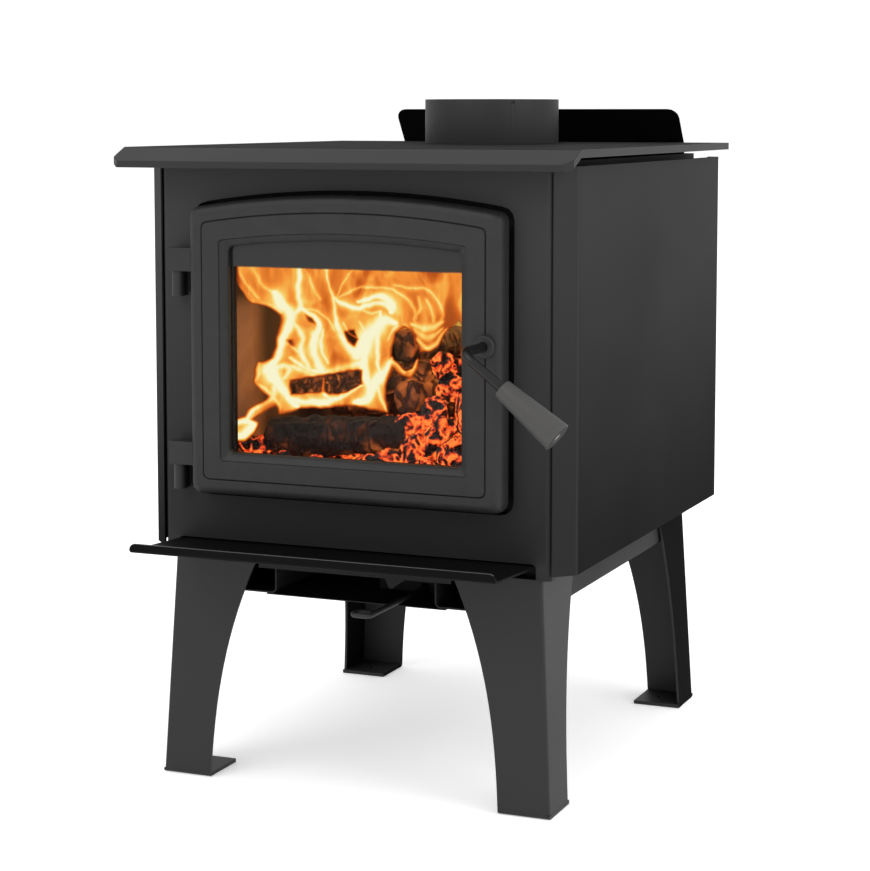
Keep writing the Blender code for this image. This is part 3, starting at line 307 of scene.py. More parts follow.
# ------------------------------------------------------------------ secondary air tubes and baffle
# Heat-tinted stainless tubes carry the insulating board that turns the smoke forward; a soft wool
# blanket lies on it. Side ducts on the bricks feed the tubes.
TUBE_STEEL = plated_steel("heat_tinted_steel", (0.24, 0.17, 0.12), 0.42, 0.05)
for node in ("air_tube_1", "air_tube_2", "air_manifold_left", "air_manifold_right"):
    rounded_copy(node, f"tinted_{node}", "stove_body", 0.0008, TUBE_STEEL, 2, 40)


def fibre(name, dark, light, scale, depth):
    """Matted fibre: short strands in two directions over soft blotches."""
    material, tree, shader = shader_tree(name)
    strands = noise(tree, in_place(tree, (1, 0.25, 1)), scale, 5, 0.7, 1.5).outputs["Fac"]
    blotches = noise(tree, in_place(tree), 25, 3, 0.6).outputs["Fac"]
    tone = maths(tree, "ADD", maths(tree, "MULTIPLY", strands, 0.6), maths(tree, "MULTIPLY", blotches, 0.4))
    tree.links.new(ramp(tree, tone, (0.3, dark), (0.7, light)), shader.inputs["Base Color"])
    shader.inputs["Roughness"].default_value = 0.95
    bump(tree, shader, strands, 0.6, depth)
    return material


rounded_copy("baffle_board", "pressed_baffle", "stove_body", 0.0015,
             fibre("pressed_fibre", (0.20, 0.16, 0.10), (0.42, 0.36, 0.25), 500, 0.0006))
rounded_copy("baffle_blanket", "wool_blanket", "stove_body", 0.0040,
             fibre("ceramic_wool", (0.45, 0.43, 0.38), (0.75, 0.73, 0.68), 350, 0.0020))

# ------------------------------------------------------------------ front plate and side shields
# Cover sheets in matt black: the front plate's upright edges are rolled back, and each side shield has
# a 45 degree front corner and a folded rear edge.
# Painted shade: the front plate, the side shields and their front strips take copies of the black paint in
# different tones, each darker towards the bottom.
PLATE_PAINT = painted_steel("front_plate_paint", (0.0185, 0.0185, 0.0182), 0.56, 0.25, 0.30,
                            (0.25, 0.66, 0.62))
SHIELD_PAINT = painted_steel("shield_paint", (0.0085, 0.0085, 0.0083), 0.62, 0.22, 0.125,
                             (0.22, 0.70, 0.15))
LIT_AND_SHADED_STRIP_PAINT = {
    "left": painted_steel("left_strip_painted_shade", (0.0090, 0.0090, 0.0088), 0.58, 0.22, 0.15,
                          (0.22, 0.70, 0.05)),
    "right": painted_steel("right_strip_paint", (0.0150, 0.0150, 0.0148), 0.58, 0.22, 0.26,
                           (0.22, 0.70, 0.62)),
}
plate = rounded_copy("front_plate", "rolled_front_plate", "stove_body", 0.0006, PLATE_PAINT, 2, 35)
for side in ("left", "right"):
    sheet = rounded_copy(f"side_shield_{side}", f"folded_shield_{side}", "stove_body", 0.0008,
                         SHIELD_PAINT, 3, 20)
    # Each shield's front strip takes its own copy of the paint, lighter at the right and darkest at the
    # left, as painted light and shade.
    second_paint(sheet, LIT_AND_SHADED_STRIP_PAINT[side], lambda normal, middle: normal.y < -0.3)

# ------------------------------------------------------------------ rear shield
# A thin sheet behind the stove whose top leans forward over the gap, always in shade; its black paint is
# made far darker than the stove's, as painted shade.
SHADED_REAR_PAINT = painted_steel("rear_shield_painted_shade", (0.0015, 0.0015, 0.0015), 0.75, 0.2, 0.02)
rear = rounded_copy("rear_shield", "leaning_rear_shield", "stove_body", 0.0006, SHADED_REAR_PAINT)

# ------------------------------------------------------------------ top plate
# One heavy plate with its front edge bent down and its front corners clipped. Its upward face takes a
# darker, duller copy of the paint than the lip and edges, as painted shade.
TOP_PAINT = painted_steel("top_lip_paint", (0.0140, 0.0140, 0.0138), 0.55, 0.22, 0.24)
# Painted shade: the upward face's darker, duller copy of the paint.
SHADED_TOP_FACE_PAINT = painted_steel("top_face_painted_shade", (0.0100, 0.0100, 0.0098), 0.70, 0.22, 0.02)
top = rounded_copy("top_plate", "bent_top_plate", "stove_body", 0.0009, TOP_PAINT, 3, 15)
second_paint(top, SHADED_TOP_FACE_PAINT, lambda normal, middle: normal.z > 0.95)

# ------------------------------------------------------------------ flue collar
# A plain round ring welded into the top plate, with three screw holes for the pipe near its rim, in
# the same black paint.
COLLAR_SIDES = 160
COLLAR_RADIUS = 0.0785
COLLAR_WALL = 0.0030
low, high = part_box("flue_collar")
collar_centre = (low + high) / 2
bpy.ops.object.select_all(action="DESELECT")
bpy.ops.mesh.primitive_cylinder_add(vertices=COLLAR_SIDES, radius=COLLAR_RADIUS, depth=high.z - low.z,
                                    end_fill_type="NOTHING", location=collar_centre)
collar = bpy.context.object
collar.name = "turned_flue_collar"
wall = collar.modifiers.new("wall", "SOLIDIFY")
wall.thickness = COLLAR_WALL
wall.offset = -1.0
bpy.ops.object.modifier_apply(modifier=wall.name)
for angle in (-51, 69, 189):
    way = Vector((math.cos(math.radians(angle)), math.sin(math.radians(angle)), 0.0))
    spot = Vector((collar_centre.x, collar_centre.y, high.z - 0.0055)) + way * COLLAR_RADIUS
    bpy.ops.object.select_all(action="DESELECT")
    bpy.ops.mesh.primitive_cylinder_add(vertices=24, radius=0.0018, depth=0.02, location=spot,
                                        rotation=way.to_track_quat("Z", "Y").to_euler())
    drill = bpy.context.object
    bpy.ops.object.select_all(action="DESELECT")
    collar.select_set(True)
    bpy.context.view_layer.objects.active = collar
    hole = collar.modifiers.new("screw hole", "BOOLEAN")
    hole.object = drill
    bpy.ops.object.modifier_apply(modifier=hole.name)
    bpy.data.objects.remove(drill)
rim = collar.modifiers.new("rim", "BEVEL")
rim.width = 0.0005
rim.segments = 2
rim.limit_method = "ANGLE"
rim.angle_limit = math.radians(50)
bpy.ops.object.modifier_apply(modifier=rim.name)
bpy.ops.object.transform_apply(location=True, rotation=True, scale=True)
bpy.ops.object.shade_smooth_by_angle(angle=math.radians(30))
paint(collar, STOVE_PAINT)
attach(collar, "stove_body")
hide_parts("flue_collar")

# ------------------------------------------------------------------ ash ledge
# A folded steel shelf under the door with a low upturned lip. Its black paint is made far darker as painted
# shade, and the lip's upward top edge takes a lighter, shinier copy as a painted highlight.
SHADED_LEDGE_PAINT = painted_steel("ledge_painted_shade", (0.0025, 0.0025, 0.0024), 0.60, 0.2, 0.05)
LEDGE_RIM_HIGHLIGHT_PAINT = painted_steel("ledge_rim_painted_highlight", (0.0450, 0.0450, 0.0440), 0.38, 0.2, 0.50)
LEDGE_LIP_FOOT = 0.2675
ledge = rounded_copy("ash_ledge", "folded_ash_ledge", "stove_body", 0.0008, SHADED_LEDGE_PAINT, 3, 20)
# Painted highlight along the top of the lip.
second_paint(ledge, LEDGE_RIM_HIGHLIGHT_PAINT, lambda normal, middle: normal.z > 0.3 and middle.z > LEDGE_LIP_FOOT)

# ------------------------------------------------------------------ air control
# A round rod under the ledge whose front end is bent into a finger loop; its inner end carries the
# angle that slides under the air inlet.
ROD_RADIUS = 0.0029


def round_bar(name, points, radius, closed=False, resolution=5):
    """A bar bent along points, with flat ends."""
    route = bpy.data.curves.new(name, "CURVE")
    route.dimensions = "3D"
    route.bevel_depth = radius
    route.bevel_resolution = resolution
    route.use_fill_caps = True
    spline = route.splines.new("POLY")
    spline.points.add(len(points) - 1)
    for point, place in zip(spline.points, points):
        point.co = (*place, 1.0)
    spline.use_cyclic_u = closed
    bar = bpy.data.objects.new(name, route)
    bpy.context.scene.collection.objects.link(bar)
    bpy.ops.object.select_all(action="DESELECT")
    bar.select_set(True)
    bpy.context.view_layer.objects.active = bar
    bpy.ops.object.convert(target="MESH")
    bar = bpy.context.object
    bpy.ops.object.mode_set(mode="EDIT")
    bpy.ops.mesh.select_all(action="SELECT")
    bpy.ops.mesh.remove_doubles(threshold=0.00001)
    bpy.ops.mesh.normals_make_consistent(inside=False)
    bpy.ops.object.mode_set(mode="OBJECT")
    bpy.ops.object.shade_smooth_by_angle(angle=math.radians(40))
    return bar


def bend(centre, first, second, radius, degrees, steps):
    """Points of a bend in the plane of two directions."""
    return [
        centre + first * radius * math.cos(math.radians(degrees * i / steps))
        + second * radius * math.sin(math.radians(degrees * i / steps))
        for i in range(steps + 1)
    ]


low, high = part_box("air_rod")
rod_x, rod_z = high.x - ROD_RADIUS, (low.z + high.z) / 2
left, front, back = low.x + ROD_RADIUS, low.y + ROD_RADIUS, low.y + 0.0200 - ROD_RADIUS
right_way, back_way = Vector((1, 0, 0)), Vector((0, 1, 0))
turn = 0.0058
route = [Vector((rod_x, high.y, rod_z)), Vector((rod_x, front + turn, rod_z))]
route += bend(Vector((rod_x - turn, front + turn, rod_z)), right_way, -back_way, turn, 90, 8)[1:]
route += bend(Vector((left + turn, front + turn, rod_z)), -back_way, -right_way, turn, 90, 8)
route += bend(Vector((left + turn, back - turn, rod_z)), -right_way, back_way, turn, 90, 8)
route += [Vector((left + 2 * turn, back, rod_z)), Vector((rod_x - ROD_RADIUS, back, rod_z))]
rod = round_bar("bent_air_rod", route, ROD_RADIUS)
paint(rod, STOVE_PAINT)
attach(rod, "air_control")
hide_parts("air_rod")
rounded_copy("air_shutter", "plated_air_shutter", "air_control", 0.0003, ZINC_PLATE)

# ------------------------------------------------------------------ door frame and hinges
# Cast iron: an arched frame with a full rounded rim and two moulded steps round the glass, two lugs
# that sit on barrels welded to the body, and a turned boss for the handle's shaft.


def sand_cast(name, colour, roughness, specular):
    """Painted casting: paint over the faint orange-peel skin that sand leaves."""
    material, tree, shader = shader_tree(name)
    where = in_place(tree)
    skin = noise(tree, where, 420, 4, 0.6).outputs["Fac"]
    lumps = noise(tree, where, 60, 2, 0.5).outputs["Fac"]
    height = maths(tree, "ADD", maths(tree, "MULTIPLY", skin, 0.6), maths(tree, "MULTIPLY", lumps, 0.4))
    dark = tuple(c * 0.80 for c in colour)
    light = tuple(c * 1.20 for c in colour)
    tree.links.new(ramp(tree, height, (0.32, dark), (0.68, light)), shader.inputs["Base Color"])
    rough = ramp(tree, skin, (0.3, roughness - 0.05), (0.7, roughness + 0.05))
    tree.links.new(rough, shader.inputs["Roughness"])
    shader.inputs["Specular IOR Level"].default_value = specular
    bump(tree, shader, height, 0.35, 0.00035)
    return material


CASTING = sand_cast("painted_casting", (0.0148, 0.0148, 0.0146), 0.54, 0.28)
door = rounded_copy("door_frame", "cast_door_frame", "door", 0.0006, CASTING, 2, 35)
for word in ("bottom", "top"):
    rounded_copy(f"hinge_bracket_{word}", f"cast_hinge_{word}", "stove_body", 0.0006, CASTING)
rounded_copy("handle_boss", "turned_handle_boss", "door", 0.0004, CASTING, 2)

# ------------------------------------------------------------------ glass, gasket, retainer and seal
# Ceramic glass, faintly amber, smoked along its arched top where the air wash doesn't reach. Behind
# it lie a woven tape, a thin steel frame with two screws, and the rope that seals the closed door.
glass_low, glass_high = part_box("door_glass")
material, tree, shader = shader_tree("smoked_ceramic_glass")
where = in_place(tree)
split = tree.nodes.new("ShaderNodeSeparateXYZ")
tree.links.new(where, split.inputs["Vector"])
soot_noise = noise(tree, where, 38, 3, 0.6, 0.4).outputs["Fac"]
soot_line = maths(tree, "ADD", split.outputs["Z"], maths(tree, "MULTIPLY", soot_noise, 0.0015))
shade = add_node(tree, "ShaderNodeMapRange")
for key, value in (("From Min", 0.5485), ("From Max", 0.5505), ("To Min", 0.0), ("To Max", 1.0)):
    shade.inputs[key].default_value = value
tree.links.new(soot_line, shade.inputs["Value"])
gleam = add_node(tree, "ShaderNodeLayerWeight", Blend=0.12)
clear = maths(tree, "ADD", maths(tree, "MULTIPLY", gleam.outputs["Fresnel"], 0.5), 0.035)
tree.links.new(maths(tree, "MAXIMUM", clear, shade.outputs["Result"]), shader.inputs["Alpha"])
shader.inputs["Base Color"].default_value = (0.010, 0.0098, 0.0095, 1.0)
shader.inputs["Roughness"].default_value = 0.10
shader.inputs["Specular IOR Level"].default_value = 0.35
pane = rounded_copy("door_glass", "ceramic_glass_pane", "door", 0.0008, material, 2, 35)
rounded_copy("glass_gasket", "woven_gasket", "door", 0.0005,
             fibre("sooted_tape", (0.010, 0.010, 0.009), (0.035, 0.033, 0.030), 900, 0.0005))
rounded_copy("glass_retainer", "steel_glass_retainer", "door", 0.0003, SHADE_PAINT)
rounded_copy("door_seal", "rope_door_seal", "door", 0.0012,
             fibre("knitted_rope", (0.012, 0.012, 0.012), (0.060, 0.058, 0.055), 700, 0.0008), 4)

# ------------------------------------------------------------------ door handle
# A round bar runs through the door and is bent down to the right; a tapered grip in warm grey is
# screwed onto its end. Inside the door the bar carries a hooked cam and its nut.
SHAFT_RADIUS = 0.0048
HANDLE_ANGLE = math.radians(-38.2)
LATCH_X, LATCH_Z = 0.157, 0.4775
ARM_LENGTH = 0.052
SHAFT_BEND = 0.014
GRIP_LENGTH = 0.0724
GRIP_ENDS = (0.0098, 0.0156)
shaft_low, shaft_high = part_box("handle_shaft")
latch = Vector((LATCH_X, shaft_low.y + SHAFT_RADIUS, LATCH_Z))
along = Vector((math.cos(HANDLE_ANGLE), 0, math.sin(HANDLE_ANGLE)))
route = [Vector((latch.x, shaft_high.y, latch.z))]
route += bend(latch + back_way * SHAFT_BEND + along * SHAFT_BEND, -along, -back_way, SHAFT_BEND, 90, 14)
route += [latch + along * (ARM_LENGTH + 0.0197)]
shaft = round_bar("bent_handle_shaft", route, SHAFT_RADIUS, resolution=8)
SHAFT_BLACK = painted_steel("handle_bar_paint", (0.0040, 0.0040, 0.0039), 0.34, 0.2, 0.30)
paint(shaft, SHAFT_BLACK)
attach(shaft, "latch_handle")
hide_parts("handle_shaft")

grip_turn = along.to_track_quat("Z", "Y")
bpy.ops.object.select_all(action="DESELECT")
bpy.ops.mesh.primitive_cone_add(vertices=96, radius1=GRIP_ENDS[0], radius2=GRIP_ENDS[1],
                                depth=GRIP_LENGTH, end_fill_type="NGON",
                                location=latch + along * (ARM_LENGTH + GRIP_LENGTH / 2),
                                rotation=grip_turn.to_euler())
grip = bpy.context.object
grip.name = "tapered_grip"
bpy.ops.object.mode_set(mode="EDIT")
bpy.ops.mesh.select_all(action="DESELECT")
bpy.ops.object.mode_set(mode="OBJECT")
for face in grip.data.polygons:
    face.select = face.normal.z > 0.9 and face.center.z > 0
bpy.ops.object.mode_set(mode="EDIT")
bpy.ops.mesh.select_mode(type="FACE")
bpy.ops.mesh.inset(thickness=0.0108)
bpy.ops.mesh.inset(thickness=0.0002)
bpy.ops.transform.translate(value=along * -0.0036)
bpy.ops.object.mode_set(mode="OBJECT")
soft = grip.modifiers.new("soft ends", "BEVEL")
soft.width = 0.0024
soft.segments = 4
soft.limit_method = "ANGLE"
soft.angle_limit = math.radians(50)
bpy.ops.object.modifier_apply(modifier=soft.name)
bpy.ops.object.transform_apply(location=True, rotation=True, scale=True)
bpy.ops.object.shade_smooth_by_angle(angle=math.radians(35))
paint(grip, painted_steel("grip_coating", (0.0480, 0.0465, 0.0455), 0.52, 0.35, 0.28))
second_paint(grip, painted_steel("grip_end_coating", (0.0100, 0.0100, 0.0098), 0.60, 0.35, 0.12),
             lambda normal, middle: normal.dot(along) > 0.9)
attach(grip, "latch_handle")
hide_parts("handle_grip")
rounded_copy("grip_screw", "sunk_grip_screw", "latch_handle", 0.0004, ZINC_PLATE, 2, 40)
rounded_copy("latch_cam", "hooked_latch_cam", "latch_handle", 0.0004, ZINC_PLATE)
rounded_copy("latch_nut", "latch_hex_nut", "latch_handle", 0.0004, ZINC_PLATE)

# ------------------------------------------------------------------ ember bed
# Burnt-down charcoal heaped on the floor bricks, higher at the right: black lumps with the glow showing
# between them, reddest at the right where the fire has been longest.
EMBER_BOX = (-0.172, 0.172, -0.190, 0.215, 0.2805)
# Each lump is (x, y, z, radius).
COALS = (
    (0.030, -0.140, 0.372, 0.017), (0.052, -0.130, 0.390, 0.017), (0.040, -0.166, 0.352, 0.015),
    (0.066, -0.152, 0.368, 0.019), (0.090, -0.125, 0.392, 0.022), (0.014, -0.172, 0.342, 0.014),
    (0.088, -0.166, 0.350, 0.018), (0.100, -0.100, 0.418, 0.020), (0.058, -0.100, 0.412, 0.016),
    (0.046, -0.084, 0.436, 0.015), (0.118, -0.140, 0.370, 0.023), (0.132, -0.100, 0.400, 0.024),
    (-0.012, -0.178, 0.335, 0.012), (-0.140, -0.160, 0.344, 0.014), (-0.112, -0.178, 0.334, 0.011),
    (-0.160, -0.150, 0.346, 0.012), (-0.066, -0.182, 0.331, 0.011), (0.066, -0.178, 0.338, 0.013),
)


def grid_piece(name, centre, size, turn, columns, rows):
    """A flat grid, applied in place, ready to be shaped."""
    bpy.ops.object.select_all(action="DESELECT")
    bpy.ops.mesh.primitive_grid_add(x_subdivisions=columns, y_subdivisions=rows, size=1.0,
                                    location=centre, rotation=turn)
    piece = bpy.context.object
    piece.name = name
    piece.scale = (size[0], size[1], 1.0)
    bpy.ops.object.transform_apply(location=True, rotation=True, scale=True)
    return piece


def displace(piece, kind, size, strength, direction="NORMAL", depth=3):
    """Pushes a surface about with a cloud or cell pattern, and keeps the result."""
    pattern = bpy.data.textures.new(f"{piece.name}_{kind.lower()}", kind)
    pattern.noise_scale = size
    if kind == "CLOUDS":
        pattern.noise_depth = depth
    push = piece.modifiers.new("shape", "DISPLACE")
    push.texture = pattern
    push.texture_coords = "LOCAL"
    push.strength = strength
    push.mid_level = 0.5
    push.direction = direction
    bpy.context.view_layer.objects.active = piece
    bpy.ops.object.modifier_apply(modifier=push.name)


def veins(tree, vector, scale, detail, sharpness):
    """Thin branching lines, bright on the line."""
    node = tree.nodes.new("ShaderNodeTexNoise")
    node.noise_type = "RIDGED_MULTIFRACTAL"
    for key, value in (("Scale", scale), ("Detail", detail), ("Roughness", 0.5), ("Lacunarity", 2.1),
                       ("Offset", 0.95), ("Gain", sharpness)):
        node.inputs[key].default_value = value
    tree.links.new(vector, node.inputs["Vector"])
    return node.outputs["Fac"]


def glowing_charcoal(name, glow):
    """Charcoal: ashy black lumps with red to orange veins, hotter to the right."""
    material, tree, shader = shader_tree(name)
    where = in_place(tree)
    lines = veins(tree, where, 74, 5, 1.8)
    ash = noise(tree, where, 150, 4, 0.7).outputs["Fac"]
    tree.links.new(ramp(tree, ash, (0.40, (0.004, 0.0035, 0.003)), (0.75, (0.050, 0.040, 0.034))),
                   shader.inputs["Base Color"])
    shader.inputs["Roughness"].default_value = 0.9
    hot = noise(tree, where, 17, 3, 0.6, 0.6).outputs["Fac"]
    warm = maths(tree, "MULTIPLY", axis(tree, where, "X"), 0.9)
    heat = maths(tree, "ADD", maths(tree, "MULTIPLY", lines, 0.95), maths(tree, "MULTIPLY", hot, 1.3))
    heat = maths(tree, "ADD", heat, warm)
    heat = maths(tree, "MULTIPLY", maths(tree, "SUBTRACT", heat, 1.46, True), 1.5)
    colours = ramp(tree, heat, (0.0, 0.0), (0.15, (0.030, 0.003, 0.001)), (0.35, (0.35, 0.018, 0.005)),
                   (0.60, (0.88, 0.070, 0.010)), (0.95, (1.0, 0.24, 0.035)))
    tree.links.new(colours, shader.inputs["Emission Color"])
    shader.inputs["Emission Strength"].default_value = glow
    bump(tree, shader, lines, 0.9, 0.003)
    return material


x0, x1, y0, y1, z0 = EMBER_BOX
bed = grid_piece("ember_bed", ((x0 + x1) / 2, (y0 + y1) / 2, z0 + 0.030), (x1 - x0, y1 - y0), (0, 0, 0),
                 150, 170)
for vertex in bed.data.vertices:
    across = vertex.co.x / x1
    back = (vertex.co.y - y0) / (y1 - y0)
    vertex.co.z += 0.050 * math.sin(math.pi * min(back * 1.6 + 0.04, 0.5 + back * 0.3)) + 0.014 * across
displace(bed, "CLOUDS", 0.050, 0.030, "Z", 4)
displace(bed, "VORONOI", 0.020, 0.016, "Z")
bpy.ops.object.mode_set(mode="EDIT")
bpy.ops.mesh.select_all(action="SELECT")
bpy.ops.mesh.extrude_region()
bpy.ops.object.mode_set(mode="OBJECT")
for vertex in bed.data.vertices:
    if vertex.select:
        vertex.co.z = z0
bpy.ops.object.mode_set(mode="EDIT")
bpy.ops.mesh.select_all(action="SELECT")
bpy.ops.mesh.normals_make_consistent(inside=False)
bpy.ops.object.mode_set(mode="OBJECT")
bpy.ops.object.shade_smooth_by_angle(angle=math.radians(50))
EMBERS = glowing_charcoal("glowing_embers", 1.15)
paint(bed, EMBERS)
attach(bed, "stove_body")
for number, (x, y, z, radius) in enumerate(COALS):
    bpy.ops.object.select_all(action="DESELECT")
    bpy.ops.mesh.primitive_ico_sphere_add(subdivisions=5, radius=radius, location=(x, y, z),
                                          rotation=(number * 1.3, number * 0.7, number * 2.1))
    lump = bpy.context.object
    lump.name = f"coal_{number}"
    lump.scale = (1.25, 0.95, 0.80)
    bpy.ops.object.transform_apply(location=True, rotation=True, scale=True)
    displace(lump, "VORONOI", radius * 1.4, radius * 0.85)
    displace(lump, "CLOUDS", radius * 0.5, radius * 0.30)
    bpy.ops.object.shade_smooth_by_angle(angle=math.radians(45))
    paint(lump, EMBERS)
    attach(lump, "stove_body")

# ------------------------------------------------------------------ logs
# Split and round logs burning on the embers: one along the front, one behind it across the middle, two
# lying front to back at the right with their cut ends forward, and one at the rear.
# Each is (name, front or left end, other end, radius, flatness).
LOGS = (
    ("log_front", (-0.130, -0.152, 0.3620), (0.026, -0.140, 0.3690), 0.0225, 0.95),
    ("log_middle", (-0.138, -0.088, 0.4080), (0.030, -0.088, 0.4270), 0.0175, 0.90),
    ("log_right_low", (0.013, -0.116, 0.4060), (0.060, 0.060, 0.4100), 0.0190, 0.85),
    ("log_right_high", (0.001, -0.098, 0.4580), (0.050, 0.100, 0.4520), 0.0195, 0.72),
    ("log_rear", (-0.150, 0.050, 0.3900), (0.140, 0.080, 0.4050), 0.0340, 0.90),
)


def charred_log(name, along, burnt):
    """Char in blocks across the grain: fire-brown faces, black cracks, a few of them glowing."""
    material, tree, shader = shader_tree(name)
    where = in_place(tree)
    drift = noise(tree, where, 45, 3, 0.6).outputs["Color"]
    moved = tree.nodes.new("ShaderNodeVectorMath")
    moved.operation = "MULTIPLY_ADD"
    tree.links.new(drift, moved.inputs[0])
    moved.inputs[1].default_value = (0.014, 0.014, 0.014)
    tree.links.new(where, moved.inputs[2])
    stretch = tree.nodes.new("ShaderNodeMapping")
    stretch.inputs["Scale"].default_value = along
    tree.links.new(moved.outputs[0], stretch.inputs["Vector"])
    blocks = tree.nodes.new("ShaderNodeTexVoronoi")
    blocks.feature = "DISTANCE_TO_EDGE"
    blocks.inputs["Scale"].default_value = 70
    tree.links.new(stretch.outputs["Vector"], blocks.inputs["Vector"])
    crack = ramp(tree, blocks.outputs["Distance"], (0.0, 0.0), (0.06, 0.1), (0.18, 1.0))
    grain = noise(tree, stretch.outputs["Vector"], 260, 4, 0.7).outputs["Fac"]
    tree.links.new(ramp(tree, grain, (0.30, (0.003, 0.0025, 0.002)), (0.60, (0.022, 0.011, 0.006)),
                        (0.85, (0.080, 0.036, 0.016))), shader.inputs["Base Color"])
    shader.inputs["Roughness"].default_value = 0.85
    hot = noise(tree, where, 24, 3, 0.6, 0.7).outputs["Fac"]
    face = maths(tree, "MULTIPLY", maths(tree, "SUBTRACT", hot, burnt, True), crack)
    face = maths(tree, "MULTIPLY", face, maths(tree, "ADD", grain, 0.4))
    edge = maths(tree, "SUBTRACT", 1.0, ramp(tree, blocks.outputs["Distance"], (0.0, 0.0), (0.05, 1.0)))
    edge = maths(tree, "MULTIPLY", edge, maths(tree, "SUBTRACT", hot, burnt + 0.13, True))
    heat = maths(tree, "ADD", maths(tree, "MULTIPLY", face, 2.2), maths(tree, "MULTIPLY", edge, 4.0), True)
    colours = ramp(tree, heat, (0.0, 0.0), (0.18, (0.070, 0.014, 0.003)), (0.45, (0.36, 0.080, 0.014)),
                   (0.75, (0.85, 0.22, 0.035)), (1.0, (1.0, 0.50, 0.13)))
    tree.links.new(colours, shader.inputs["Emission Color"])
    shader.inputs["Emission Strength"].default_value = 0.9
    bump(tree, shader, crack, 0.9, 0.003)
    return material


CHAR = {
    "log_front": charred_log("black_char", (1.0, 0.7, 0.55), 0.53),
    "log_middle": charred_log("brown_char", (1.0, 0.6, 0.50), 0.34),
    "log_right": charred_log("brown_char_back", (0.7, 1.0, 0.55), 0.38),
}
for name, start, end, radius, flat in LOGS:
    start, end = Vector(start), Vector(end)
    way = end - start
    bpy.ops.object.select_all(action="DESELECT")
    bpy.ops.mesh.primitive_cylinder_add(vertices=56, radius=radius, depth=way.length,
                                        end_fill_type="NGON", location=(0, 0, 0))
    log = bpy.context.object
    log.name = name
    bpy.ops.object.mode_set(mode="EDIT")
    bpy.ops.mesh.select_all(action="DESELECT")
    bpy.ops.object.mode_set(mode="OBJECT")
    for face in log.data.polygons:
        face.select = abs(face.normal.z) > 0.9
    bpy.ops.object.mode_set(mode="EDIT")
    bpy.ops.mesh.select_mode(type="FACE")
    bpy.ops.mesh.inset(thickness=radius * 0.12, use_individual=True)
    bpy.ops.mesh.inset(thickness=radius * 0.55, use_individual=True)
    bpy.ops.mesh.select_all(action="SELECT")
    bpy.ops.object.mode_set(mode="OBJECT")
    slices = max(int(way.length / 0.004), 8)
    for step in range(1, slices):
        bpy.ops.object.mode_set(mode="EDIT")
        bpy.ops.mesh.select_all(action="SELECT")
        bpy.ops.mesh.bisect(plane_co=(0, 0, way.length * (step / slices - 0.5)), plane_no=(0, 0, 1))
        bpy.ops.object.mode_set(mode="OBJECT")
    for vertex in log.data.vertices:
        vertex.co.x *= flat
        if vertex.co.y > 0.55 * radius:
            vertex.co.y = 0.55 * radius + 0.35 * (vertex.co.y - 0.55 * radius)
    displace(log, "CLOUDS", 0.030, radius * 0.50)
    displace(log, "VORONOI", 0.011, radius * 0.25)
    turn = way.to_track_quat("Z", "Y").to_matrix().to_4x4()
    log.data.transform(Matrix.Translation((start + end) / 2) @ turn)
    bpy.ops.object.shade_smooth_by_angle(angle=math.radians(55))
    paint(log, next((CHAR[key] for key in CHAR if name.startswith(key)), CHAR["log_front"]))
    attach(log, "stove_body")

# ------------------------------------------------------------------ flames
# Burning gas that rises behind the front log, folds over the stack and runs up to the left under the
# baffle: bright threads along its folds and edges, orange and half clear between them.
# Sizes are in millimetres. The sheet runs across the firebox and comes forward at its left end.
FLAME_SPAN = (-174, 122, 350, 558)
FLAME_CELL = 1.2
SHEET_THICKNESS = 0.0006    # metres
# Where the gas burns at all, and the gaps in it.
FLAME_BODY = (
    (
        (-161, 558), (-135, 558), (-109, 558), (-77, 558), (-20, 558), (26, 558), (121, 558),
        (121, 478), (104, 466), (88, 474), (72, 488), (59, 476), (49, 460), (28, 454), (22, 475),
        (10, 481), (-2, 474), (-4, 458), (-5, 443), (-12, 424), (-11, 400), (-10, 385), (-22, 389),
        (-39, 391), (-66, 392), (-88, 387),
        (-109, 389), (-122, 383), (-131, 398), (-140, 411), (-143, 421), (-141, 439), (-130, 443),
        (-125, 456), (-122, 478), (-123, 492), (-135, 501), (-147, 505), (-155, 521),
    ),
    ((-173, 373), (-163, 377), (-152, 380), (-142, 373), (-146, 364), (-155, 355), (-171, 358)),
    ((-153, 376), (-148, 390), (-135, 397), (-129, 417), (-124, 404), (-130, 390), (-142, 381)),
    ((-6, 441), (-3, 445), (6, 436), (13, 429), (22, 435), (26, 446), (27, 437), (17, 425), (4,
    428)),
)
FLAME_GAPS = (
    ((-115, 418), (-100, 423), (-77, 425), (-53, 431), (-38, 431), (-38, 415), (-53, 408), (-77,
    402), (-100, 404), (-115, 403)),
    ((-60, 471), (-47, 475), (-43, 465), (-49, 456), (-58, 461)),
    ((-103, 488), (-96, 485), (-94, 479), (-100, 481)),
    ((-117, 463), (-113, 462), (-111, 454), (-115, 456)),
)
